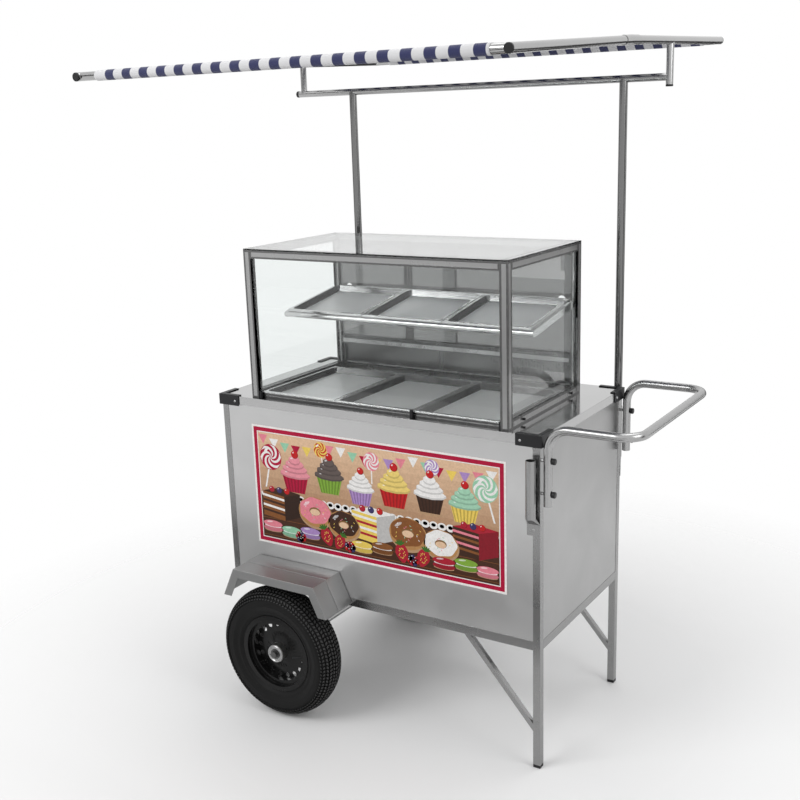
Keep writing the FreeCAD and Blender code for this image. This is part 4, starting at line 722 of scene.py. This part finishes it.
WHEEL_Y = {"front": -0.3845, "back": 0.3095}
for side, middle_y in WHEEL_Y.items():
    tyre(side, middle_y)
    for part, finish, slot, radius, segments in (
        ("_rim", rim_enamel, "rim_paint", 0.7, 3), ("_rim_disc", rim_enamel, "rim_paint", 0.5, 2),
        ("_hub", hub_steel, "hub_steel", 1.2, 3), ("_valve", black_rubber, "black_rubber", 0.6, 2),
    ):
        dressed(side + part, finish, slot, radius, side + "_wheel", segments)

# %% [markdown]
# The hub's end carries a pressed steel cover with a rolled edge round the bearing. It is a
# short section spun round the axle, outside the washer.
# %% Hub covers
COVER = [(15.2, 0), (15.2, 1.2), (18, 1.9), (20, 1.2), (21.5, 2.6), (24.2, 2.6), (25.4, 1.4), (25.4, 0)]
HUB_END = 32 * MM
for side, way in (("front", -1), ("back", 1)):
    bm = spun([(r, h * way) for r, h in COVER], 64)
    move(bm, Matrix.Translation((AXLE_X, WHEEL_Y[side] + way * HUB_END, AXLE_Z)))
    bmesh.ops.solidify(bm, geom=bm.faces[:], thickness=0.4 * MM)
    piece(side + "_hub_cover", bm, fastener_steel, side + "_wheel", "fastener_steel")

# %% [markdown]
# ## Tubes of the handle and the canopy
# Bent and straight tube keep their solids' shape. The copies are smooth shaded, and only
# their cut ends are rounded, as a deburred tube's are.
# %% Handle and canopy tubes
dressed("handle", bright_tube, "bright_tube", 0.3)
for node in ("canopy_poles", "canopy_bar_left", "canopy_bar_right", "canopy_front_arms",
             "canopy_rear_arms", "canopy_cross_tubes"):
    # The poles get the darkest grey, a painted reflection.
    finish = pole_tube_painted_reflection if node == "canopy_poles" else canopy_tube
    dressed(node, finish, "bright_tube", 0.25, "canopy")
dressed("canopy_caps", black_plastic, "black_plastic", 1.4, "canopy", 3)

# %% [markdown]
# ## Canvas sheet
# The canvas is one cut of cloth. It is hemmed along both sides, sewn in a loop round each
# cross tube and stretched between them, where it sags a little under its own weight. The
# path over both tubes is one row of points, and it is extruded across the trolley column by
# column. The hem is the first and last few columns, folded under.
# %% Path of the cloth over the tubes
NEAR_TUBE, FAR_TUBE = Vector((-0.655, 1.762)), Vector((0.655, 1.826))
LOOP, LAP, SAG = 11.95 * MM, 1.1 * MM, 9 * MM
TOP_STEPS = 64
span = (FAR_TUBE - NEAR_TUBE).length
run = (FAR_TUBE - NEAR_TUBE).normalized()
rise = Vector((-run.y, run.x))


def loop_points():
    """The sewn loop seen along the tube: the lap's end first, the top of the tube last."""
    under = LOOP - LAP
    points = [(0.048, under), (0.040, under), (0.032, under), (0.026, LOOP - LAP * 1.6),
              (0.0215, 0.0064), (0.0165, 0.0005)]
    for step in range(11):
        angle = math.radians(122 + step * 23.8)
        points.append((LOOP * math.sin(angle), LOOP * math.cos(angle)))
    return points


def place_on(tube, flip, point):
    return tube + run * point[0] * flip + rise * point[1]


path = [place_on(NEAR_TUBE, 1, p) for p in loop_points()]
path += [NEAR_TUBE + run * span * step / TOP_STEPS + rise * LOOP for step in range(1, TOP_STEPS)]
path += [place_on(FAR_TUBE, -1, p) for p in reversed(loop_points())]
travel = [0.0]
for before, after in zip(path, path[1:]):
    travel.append(travel[-1] + (after - before).length)
print("cloth path", round(travel[-1], 4), "m")

# %% [markdown]
# Each column of the cloth has its place across the trolley and says how far it is folded
# under: 1 is under the top layer and 0 is the top. The wrinkles are shallow. They run away
# from the sewn loops, where the cloth is gathered most, and fade towards the middle.
# %% Columns and sag of the cloth
low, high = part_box("canopy_cloth")
LEFT_EDGE, RIGHT_EDGE = low[0], high[0]
CLOTH_WIDTH = RIGHT_EDGE - LEFT_EDGE
HEM, HEM_BEND, COLUMNS = 18 * MM, 1.2 * MM, 106
HEM_FOLD = [(HEM, 1.0), (HEM / 2, 1.0), (HEM_BEND, 1.0), (0.0, 0.5), (HEM_BEND, 0.0)]
columns = [(LEFT_EDGE + inset, under) for inset, under in HEM_FOLD]
columns += [(LEFT_EDGE + CLOTH_WIDTH * i / COLUMNS, 0.0) for i in range(1, COLUMNS)]
columns += [(RIGHT_EDGE - inset, under) for inset, under in reversed(HEM_FOLD)]
PULL, CURL = 2.2 * MM, 4 * MM


def cloth_lift(x, y):
    """How far the top of the cloth leaves the straight line between the tubes."""
    share = (y - NEAR_TUBE.x) / (FAR_TUBE.x - NEAR_TUBE.x)
    if not 0 < share < 1:
        return 0.0
    middle = 4 * share * (1 - share)
    edge = min(1.0, 30 * min(share, 1 - share))
    pulls = noise.noise(Vector((x * 16, y * 1.6, 0.3))) * PULL * (1 - 0.55 * middle)
    curl = CURL * (abs((x - LEFT_EDGE) / CLOTH_WIDTH - 0.5) * 2) ** 6
    return (pulls - curl * middle) * edge - SAG * middle


print("columns", len(columns), "lift in the middle", round(cloth_lift(0.0, 0.0), 4))

# %% [markdown]
# The path is extruded from column to column. Each vertex keeps how far it lies across and
# along the cut cloth, and that becomes the UV map of the weave.
# %% Extrude the cloth
LOOP_COUNT, LAP_COUNT = len(loop_points()), 4
bm = bmesh.new()
across_layer = bm.verts.layers.float.new("across")
along_layer = bm.verts.layers.float.new("along")


def outward(index):
    before, after = path[max(index - 1, 0)], path[min(index + 1, len(path) - 1)]
    way = (after - before).normalized()
    return Vector((-way.y, way.x))


def place_vert(vert, index, x, under, across):
    y, z = path[index] - outward(index) * under * LAP
    from_end = min(index, len(path) - 1 - index)
    if from_end >= LOOP_COUNT or from_end < LAP_COUNT:
        z += cloth_lift(x, y)
    vert.co = (x, y, z)
    vert[across_layer] = across
    vert[along_layer] = travel[index]


row, edges = chain(bm, [(0, 0, 0)] * len(path))
across = -HEM
for number, (x, under) in enumerate(columns):
    if number:
        grown = bmesh.ops.extrude_edge_only(bm, edges=edges)["geom"]
        fresh = {v for v in grown if isinstance(v, bmesh.types.BMVert)}
        edges = [e for e in grown if isinstance(e, bmesh.types.BMEdge) and fresh.issuperset(e.verts)]
        row = [next(e.other_vert(v) for e in v.link_edges if e.other_vert(v) in fresh) for v in row]
        before_x, before_under = columns[number - 1]
        across += abs(x - before_x) + abs(under - before_under) * LAP
    for index, vert in enumerate(row):
        place_vert(vert, index, x, under, across)
cloth_uv = bm.loops.layers.uv.new("cloth")
for f in bm.faces:
    for corner in f.loops:
        corner[cloth_uv].uv = (corner.vert[across_layer], corner.vert[along_layer])
face_up(bm)
cloth = piece("canopy_canvas", bm, canvas, "canopy", "canvas", ["canopy_cloth"], angle=80)
thicken(cloth, 0.8 * MM, 0)

# %% [markdown]
# The loops are closed by two rows of lockstitch through both layers. Each stitch is a short
# thread that stands a little proud, six millimetres from the next.
# %% Stitches
STITCH_PITCH = 6 * MM
STITCH = Matrix.Diagonal((4.2 * MM, 0.6 * MM, 0.5 * MM, 1))
bm = bmesh.new()
for tube, flip in ((NEAR_TUBE, 1), (FAR_TUBE, -1)):
    for inset in (0.030, 0.044):
        y, z = place_on(tube, flip, (inset, LOOP + 0.55 * MM))
        for i in range(int((CLOTH_WIDTH - 0.012) / STITCH_PITCH)):
            x = LEFT_EDGE + 0.008 + i * STITCH_PITCH
            spot = Matrix.Translation((x, y, z + cloth_lift(x, y)))
            bmesh.ops.create_icosphere(bm, subdivisions=1, radius=0.5, matrix=spot @ STITCH)
thread_white = moulded("thread_white", (0.7, 0.7, 0.68), 0.7, 3000.0, 0.05, sheen=0.2)
stitches = piece("canopy_stitches", bm, thread_white, "canopy", "canvas")

# %% [markdown]
# ## Printed picture
# The printed sheet shows sweets on a cream ground inside a crimson border. Every motif is
# built of flat shapes, each a few thousandths of a millimetre above the last one, and all
# shapes carry their ink in one colour attribute. Motifs of one row do not cover each other,
# so they start at the same level, and the next row starts above the highest of them.
# %% Flat shapes for the print
PRINT_LEFT, PRINT_RIGHT, PRINT_LOW, PRINT_HIGH = -0.47675, 0.32325, 0.467, 0.819
PRINT_FACE, SHAPE_LIFT, LAYER = -0.3020, 0.02 * MM, 0.004 * MM
KEPT_CLEAR = 16 * MM
CREAM, CRIMSON, WHITE = (0.80, 0.55, 0.36), (0.44, 0.002, 0.040), (0.88, 0.86, 0.84)
CHOCOLATE, TOFFEE, BISCUIT = (0.050, 0.018, 0.008), (0.24, 0.085, 0.022), (0.47, 0.24, 0.085)
BERRY, CHERRY, BLUEBERRY = (0.42, 0.012, 0.030), (0.55, 0.010, 0.012), (0.045, 0.035, 0.13)
PINK, MINT, LILAC, LEMON = (0.80, 0.24, 0.30), (0.32, 0.62, 0.42), (0.42, 0.26, 0.56), (0.85, 0.62, 0.12)
LEAF, LIME, SHADOW = (0.045, 0.16, 0.020), (0.22, 0.40, 0.045), (0.48, 0.30, 0.17)
print_mesh = bmesh.new()
ink_layer = print_mesh.loops.layers.float_color.new("ink")
levels = {"now": 0, "row": 0, "top": 0}
shapes = []


def lighter(ink, share):
    return tuple(c + (1 - c) * share for c in ink)


def inked_face(points, ink, lift=0.0):
    """A face on the next level above the sheet, facing the customer."""
    levels["now"] += 1
    levels["top"] = max(levels["top"], levels["now"])
    y = PRINT_FACE - lift - LAYER * levels["now"]
    face = print_mesh.faces.new([print_mesh.verts.new((x, y, z)) for x, z in points])
    face.normal_update()
    if face.normal.y > 0:
        face.normal_flip()
    for corner in face.loops:
        corner[ink_layer] = (*ink, 1)
    return face


# %% [markdown]
# A sweet is drawn in units of its own size, so one drawing serves every size. It gets one
# value, here, that holds its place on the sheet and its size. A step to the right and up from
# there, and a share of the size, give the place of a smaller thing on it.
# %% Shapes and ovals in a sweet's own units
def within(here, right, up, share=1.0, lean=0.0):
    x, z, size = here
    return (x + size * (right * math.cos(lean) - up * math.sin(lean)),
            z + size * (right * math.sin(lean) + up * math.cos(lean)), size * share)


def shape(here, points, ink, lean=0.0):
    spots = [within(here, right, up, lean=lean) for right, up in points]
    inside = [(min(PRINT_RIGHT - KEPT_CLEAR, max(PRINT_LEFT + KEPT_CLEAR, x)),
               min(PRINT_HIGH - KEPT_CLEAR, max(PRINT_LOW + KEPT_CLEAR, z))) for x, z, _ in spots]
    shapes.append(inked_face(inside, ink, SHAPE_LIFT))


def oval(here, right, up, wide, high, ink, lean=0.0, waves=0, depth=0.0, steps=40):
    """An ellipse, or with waves a scalloped one, leaning by an angle."""
    points = []
    for i in range(steps):
        angle = math.tau * i / steps
        swell = 1 + depth * math.cos(waves * angle)
        points.append((wide * swell * math.cos(angle), high * swell * math.sin(angle)))
    shape(within(here, right, up), points, ink, lean)


def motif(make, x, z, size, *rest):
    """Make a motif at a place on the sheet, from the row's level upwards."""
    levels["now"] = levels["row"]
    make((PRINT_LEFT + x, PRINT_LOW + z, size), *rest)


def new_row():
    levels["row"] = levels["top"]


# %% [markdown]
# Each sweet is a small function. All of them have the same three tones, a shaded side, the
# body and a gloss spot. Things that are strewn, such as sprinkles and seeds, turn by the
# golden angle from one to the next, so they never line up.
# %% Sweets
GOLDEN = 2.4


def berry(here, ink):
    oval(here, 0.1, -0.12, 1, 0.95, darker(ink, 0.45))
    oval(here, 0, 0, 0.97, 0.93, ink)
    oval(here, -0.35, 0.38, 0.24, 0.16, lighter(ink, 0.75), 0.7)


def ring_cake(here, glaze):
    oval(here, 0.04, -0.10, 1.02, 0.80, SHADOW)
    oval(here, 0, 0, 1, 0.78, BISCUIT)
    oval(here, 0, 0.07, 0.93, 0.68, glaze, waves=7, depth=0.035)
    oval(here, 0, 0.03, 0.34, 0.22, darker(BISCUIT, 0.5))
    oval(here, 0, -0.01, 0.30, 0.17, CREAM)
    oval(here, -0.5, 0.38, 0.22, 0.07, lighter(glaze, 0.45), 0.55)
    for i in range(16):
        angle, reach = i * GOLDEN, 0.52 + 0.22 * math.sin(i * 1.7)
        oval(here, reach * math.cos(angle), 0.05 + reach * 0.75 * math.sin(angle), 0.055, 0.018,
             (LEMON, WHITE, PINK, MINT)[i % 4], i * 1.1, steps=8)


def cup_cake(here, cream, paper):
    cream = lighter(cream, 0.08)
    oval(here, 0, -0.74, 0.52, 0.10, SHADOW)
    shape(here, [(-0.42, -0.72), (0.42, -0.72), (0.62, 0), (-0.62, 0)], paper)
    for i in range(7):
        low, high = -0.40 + i * 0.12, -0.60 + i * 0.18
        shape(here, [(low, -0.72), (low + 0.05, -0.72), (high + 0.07, 0), (high, 0)], darker(paper, 0.62))
    for level, width in ((0.04, 0.70), (0.24, 0.58), (0.42, 0.43), (0.58, 0.27)):
        oval(here, 0, level - 0.05, width, 0.17, darker(cream, 0.72), waves=9, depth=0.03)
        oval(here, 0, level, width * 0.97, 0.15, cream, waves=9, depth=0.03)
        oval(here, width * -0.45, level + 0.05, width * 0.22, 0.035, lighter(cream, 0.6), 0.3)
    berry(within(here, 0.02, 0.80, 0.16), CHERRY)


def strawberry(here, lean):
    points = []
    for i in range(36):
        angle = math.tau * i / 36
        narrow = 1 - 0.38 * max(0.0, -math.sin(angle))
        points.append((0.72 * math.cos(angle) * narrow, math.sin(angle)))
    shape(here, points, BERRY, lean)
    for i in range(15):
        reach = 0.42 * (0.4 + 0.04 * i)
        oval(here, reach * math.cos(i * GOLDEN), 0.5 * math.sin(i * GOLDEN), 0.045, 0.07, LEMON, steps=8)
    for i in range(5):
        angle = math.radians(30 + 30 * i) + lean
        right = 0.3 * math.cos(angle) - 0.9 * math.sin(lean)
        up = 0.2 * math.sin(angle) + 0.85 * math.cos(lean)
        oval(here, right, up, 0.32, 0.10, LEAF, angle)


def sandwich_biscuit(here, shell):
    oval(here, 0, -0.42, 0.96, 0.16, SHADOW)
    oval(here, 0, -0.25, 1, 0.30, darker(shell, 0.75), waves=2, depth=0.05)
    oval(here, 0, -0.02, 0.94, 0.13, lighter(shell, 0.7))
    oval(here, 0, 0.20, 1, 0.32, shell, waves=2, depth=0.05)
    oval(here, -0.35, 0.34, 0.34, 0.07, lighter(shell, 0.5), 0.12)


def cake_slice(here, layers, icing):
    shape(here, [(-1, -0.55), (0.15, -0.68), (0.15, 0.42), (-1, 0.55)], layers[0])
    for i in range(1, 5):
        low = -0.55 + 1.1 * i / 5
        shape(here, [(-1, low), (0.15, low - 0.13), (0.15, low - 0.03), (-1, low + 0.10)],
              layers[1 + i % (len(layers) - 1)])
    shape(here, [(0.15, -0.68), (1, -0.38), (1, 0.65), (0.15, 0.42)], darker(icing, 0.6))
    shape(here, [(-1, 0.55), (0.15, 0.42), (1, 0.65), (-0.1, 0.79)], icing)
    for i, ink in enumerate((BERRY, BLUEBERRY, CHERRY)):
        berry(within(here, -0.5 + 0.4 * i, 0.69, 0.14), ink)


def swirl_sweet(here, first, second, lean):
    foot = 2.4 * math.sin(lean)
    shape(here, [(-0.07, 0), (foot - 0.07, -2.4), (foot + 0.07, -2.4), (0.07, 0)], WHITE)
    oval(here, 0, 0, 1, 1, first)
    for arm in range(6):
        inner, outer = [], []
        for i in range(14):
            reach, angle = 0.97 * i / 13, math.tau * arm / 6 + 2.2 * i / 13
            inner.append((reach * math.cos(angle), reach * math.sin(angle)))
            outer.append((reach * math.cos(angle + 0.5), reach * math.sin(angle + 0.5)))
        shape(here, inner + outer[:0:-1], second)
    oval(here, -0.4, 0.5, 0.28, 0.10, WHITE, 0.8)


# %% [markdown]
# The sheet carries the white margin and the border first, and then the ground, which lightens
# upwards in bands. A table with a scalloped cloth edge and a row of flags come next.
# %% Ground, table and flags
MARGIN, BORDER, LINE = 6 * MM, 11.5 * MM, 2.5 * MM
FIELD = MARGIN + BORDER + LINE
GROUND_LOW, GROUND_HIGH, GROUND_BANDS = PRINT_LOW + FIELD, PRINT_HIGH - FIELD, 12
TABLE_TOP, BOARD, FLAG_TOP = 0.150, 26 * MM, 0.326


def panel(inset, low, high, ink):
    left, right = PRINT_LEFT + inset, PRINT_RIGHT - inset
    inked_face([(left, low), (right, low), (right, high), (left, high)], ink)


for inset, ink in ((0, WHITE), (MARGIN, CRIMSON), (MARGIN + BORDER, WHITE)):
    panel(inset, PRINT_LOW + inset, PRINT_HIGH - inset, ink)
for i in range(GROUND_BANDS):
    share = i / GROUND_BANDS
    tone = tuple(a + (b - a) * share for a, b in zip(TOFFEE, CREAM))
    panel(FIELD, GROUND_LOW + (GROUND_HIGH - GROUND_LOW) * share, GROUND_HIGH, tone)
new_row()
levels["now"] = levels["row"]
panel(FIELD, GROUND_LOW, PRINT_LOW + TABLE_TOP, darker(CHOCOLATE, 1.3))
for i in range(1, 6):
    panel(FIELD, PRINT_LOW + BOARD * i, PRINT_LOW + BOARD * i + 1.2 * MM, TOFFEE)
for up, wide, high, ink in ((0, 13.2, 10.5, WHITE), (1, 7.0, 5.2, PINK)):
    for i in range(30):
        motif(oval, 0.035 + 0.0252 * i, TABLE_TOP, MM, 0, up, wide, high, ink)
new_row()
for i in range(20):
    hang = 0.020 * abs(math.sin(math.pi * i / 6.5))
    flag = (PINK, WHITE, MINT, CRIMSON, LEMON, LILAC)[i % 6]
    motif(shape, 0.038 + 0.038 * i, FLAG_TOP - hang, 0.016, [(-1, 0), (0, -1.75), (1, 0)], flag)
print("levels so far", levels["top"])

# %% [markdown]
# The sweets follow row by row, from the back of the table to its front. Each line gives the
# place on the sheet, the size, and what that sweet's function asks for. The last row is
# three small heaps of berries.
# %% Lay out the sweets
heaps = [((0.322, 0.524, 0.154)[i % 3] + 0.011 * math.cos(i * GOLDEN), 0.040 + 0.009 * math.sin(i * GOLDEN),
          0.0078, (BLUEBERRY, CHERRY, BERRY)[i // 3 % 3]) for i in range(24)]
for make, sweets in (
    (swirl_sweet, (
        (0.062, 0.262, 0.038, CRIMSON, WHITE, -0.25), (0.742, 0.272, 0.036, MINT, WHITE, 0.3),
        (0.402, 0.296, 0.026, PINK, WHITE, 0.0), (0.236, 0.306, 0.022, LEMON, CHERRY, 0.15),
        (0.588, 0.306, 0.022, LILAC, WHITE, -0.15))),
    (cup_cake, (
        (0.145, 0.222, 0.074, PINK, CRIMSON), (0.262, 0.234, 0.070, CHOCOLATE, LIME),
        (0.364, 0.214, 0.064, WHITE, LILAC), (0.470, 0.232, 0.074, LEMON, CHERRY),
        (0.580, 0.232, 0.070, WHITE, CHOCOLATE), (0.682, 0.220, 0.068, MINT, LEMON))),
    (cake_slice, (
        (0.092, 0.122, 0.066, (TOFFEE, WHITE, CHOCOLATE), CHOCOLATE),
        (0.402, 0.112, 0.070, (LEMON, WHITE, BERRY), WHITE),
        (0.712, 0.122, 0.066, (CHOCOLATE, PINK, TOFFEE), BERRY))),
    (ring_cake, (
        (0.208, 0.122, 0.056, PINK), (0.304, 0.100, 0.052, CHOCOLATE), (0.510, 0.112, 0.058, TOFFEE),
        (0.610, 0.100, 0.052, WHITE))),
    (sandwich_biscuit, (
        (0.056, 0.056, 0.032, PINK), (0.122, 0.048, 0.032, MINT), (0.188, 0.056, 0.032, LILAC),
        (0.362, 0.048, 0.032, LEMON), (0.428, 0.056, 0.032, TOFFEE), (0.618, 0.050, 0.032, BERRY),
        (0.684, 0.058, 0.032, LIME), (0.746, 0.050, 0.030, PINK))),
    (strawberry, (
        (0.246, 0.056, 0.028, 0.4), (0.288, 0.048, 0.024, -0.5), (0.490, 0.054, 0.028, 0.2),
        (0.556, 0.052, 0.027, -0.3))),
    (berry, heaps),
):
    new_row()
    for x, z, size, *rest in sweets:
        motif(make, x, z, size, *rest)
bmesh.ops.triangulate(print_mesh, faces=shapes)
piece("sweets_picture", print_mesh, printed_vinyl, "chassis", "printed_vinyl")
print("levels in the picture", levels["top"])

# %% [markdown]
# The vinyl itself is a dressed copy of its solid, behind the picture. Its mesh has no ink
# yet, so its edges would print black. It gets the border's crimson all over.
# %% Ink the backing
dressed("graphic_sheet", printed_vinyl, "printed_vinyl", 0.05, name="picture_backing")
backing_ink = bpy.data.objects["picture_backing"].data.attributes.new("ink", "FLOAT_COLOR", "CORNER")
for corner in backing_ink.data:
    corner.color = (*CRIMSON, 1)

# %% [markdown]
# ## Floor
# The trolley stands on a pale floor. The floor is one disc, far wider than the picture, and
# it melts into the white behind it, so no horizon shows. Only the soft shadow under the
# trolley tells that it is there.
# %% Floor disc
FLOOR_RADIUS, FLOOR_DROP = 7.0, 0.5 * MM
FADE_FROM, FADE_TO = 0.75, 1.9
bm = bmesh.new()
bmesh.ops.create_circle(bm, cap_ends=True, segments=96, radius=FLOOR_RADIUS)
move(bm, Matrix.Translation((0, 0, -FLOOR_DROP)))
floor = into_scene("floor", mesh_of(bm, "floor"))
floor_paint, tree, shader = blank("pale_floor")
fill(tree, shader, {"Base Color": (*grey(0.93), 1), "Roughness": 0.6, "Specular IOR Level": 0.15})
away = add(tree, "VectorMath", {0: own_place(tree)}, operation="LENGTH").outputs["Value"]
fade = add(tree, "MixShader", {0: spread(tree, away, FADE_FROM, FADE_TO), 1: shader.outputs[0],
                               2: add(tree, "BsdfTransparent").outputs[0]})
fill(tree, tree.nodes["Material Output"], {"Surface": fade.outputs[0]})
floor.data.materials.append(floor_paint)

# %% [markdown]
# ## Light
# The room is a white studio. The camera, glossy and clear rays see plain white, and the light
# that the room gives is weaker, so that pale sheet keeps its grey.
# %% Room
ROOM_LIGHT = 0.62
world = bpy.data.worlds.new("studio")
bpy.context.scene.world = world
world.use_nodes = True
tree = world.node_tree
rays = add(tree, "LightPath").outputs
seen = math_node(tree, "MAXIMUM", rays["Is Camera Ray"], rays["Is Glossy Ray"])
seen = math_node(tree, "MAXIMUM", seen, rays["Is Transmission Ray"])
fill(tree, tree.nodes["Background"], {"Strength": spread(tree, seen, 0.0, 1.0, ROOM_LIGHT, 1.0),
                                      "Color": (1, 1, 1, 1)})
print("room light", ROOM_LIGHT)

# %% [markdown]
# Three soft lamps give the shape: one high on the left and in front, a weaker one on the
# right, and one overhead. They are large, because a small lamp would make hard shadows and
# bright spots. Each is aimed at the middle of the trolley.
# %% Lamps
LAMP_AIM = Vector((0, 0, 0.8))
for name, spot, power, wide, high in (
    ("front_lamp", (-1.6, -3.2, 3.2), 60, 2.2, 1.6),
    ("side_lamp", (3.4, -0.6, 2.6), 28, 1.8, 1.8),
    ("top_lamp", (0.2, 0.8, 4.2), 40, 2.6, 2.6),
):
    data = bpy.data.lights.new(name, "AREA")
    data.shape = "RECTANGLE"
    data.size, data.size_y = wide, high
    data.energy = power
    into_scene(name, data).matrix_world = facing(spot, LAMP_AIM - Vector(spot), "-Z")
    print(name, power, "W")

# %% [markdown]
# Polished steel shows whatever stands round it, and in an all-white room it would look like
# white paint. Photographers stand grey cards beside the camera for that reason. These cards
# are seen by glossy rays only, so they darken reflections and cast no shade. Four lie on the
# floor and look up, and four stand round the trolley.
# %% Grey cards
CARD_GLOW = grey(0.07)
UP = Vector((0, 0, 1))
card_paint, tree, shader = blank("grey_card")
glow = add(tree, "Emission", {"Color": (*CARD_GLOW, 1), "Strength": 1.0})
fill(tree, tree.nodes["Material Output"], {"Surface": glow.outputs[0]})
for name, spot, aim_height, wide, high in (
    ("card_floor_front", (0.0, -5.2, 0.02), None, 7.0, 3.6),
    ("card_floor_near", (-0.6, -1.12, 0.02), None, 3.0, 0.5),
    ("card_floor_back", (-0.7, 3.5, 0.02), None, 3.4, 3.4),
    ("card_floor_far", (3.5, 5.7, 0.02), None, 5.0, 3.8),
    ("card_front_left", (-1.9, -3.0, 2.3), 1.1, 2.2, 1.2),
    ("card_right", (3.9, 0.4, 1.2), 1.0, 1.0, 2.6),
    ("card_left", (-3.9, -0.6, 1.3), 1.0, 1.2, 2.6),
    ("card_back", (0.6, 4.2, 1.0), 1.0, 3.0, 0.7),
):
    way = Vector((0, 0, aim_height)) - Vector(spot) if aim_height else UP
    bm = bmesh.new()
    bmesh.ops.create_grid(bm, x_segments=1, y_segments=1, size=0.5)
    move(bm, facing(spot, way) @ Matrix.Diagonal((wide, high, 1, 1)))
    card = into_scene(name, mesh_of(bm, name))
    card.data.materials.append(card_paint)
    for kind in ("camera", "shadow", "diffuse", "transmission"):
        setattr(card, "visible_" + kind, False)
    print(name, wide, "by", high, "m")

# %% [markdown]
# ## View settings and finish
# The view transform stays plain, so a colour shows about as it is written.
# %% View settings
bpy.context.scene.view_settings.view_transform = "Standard"
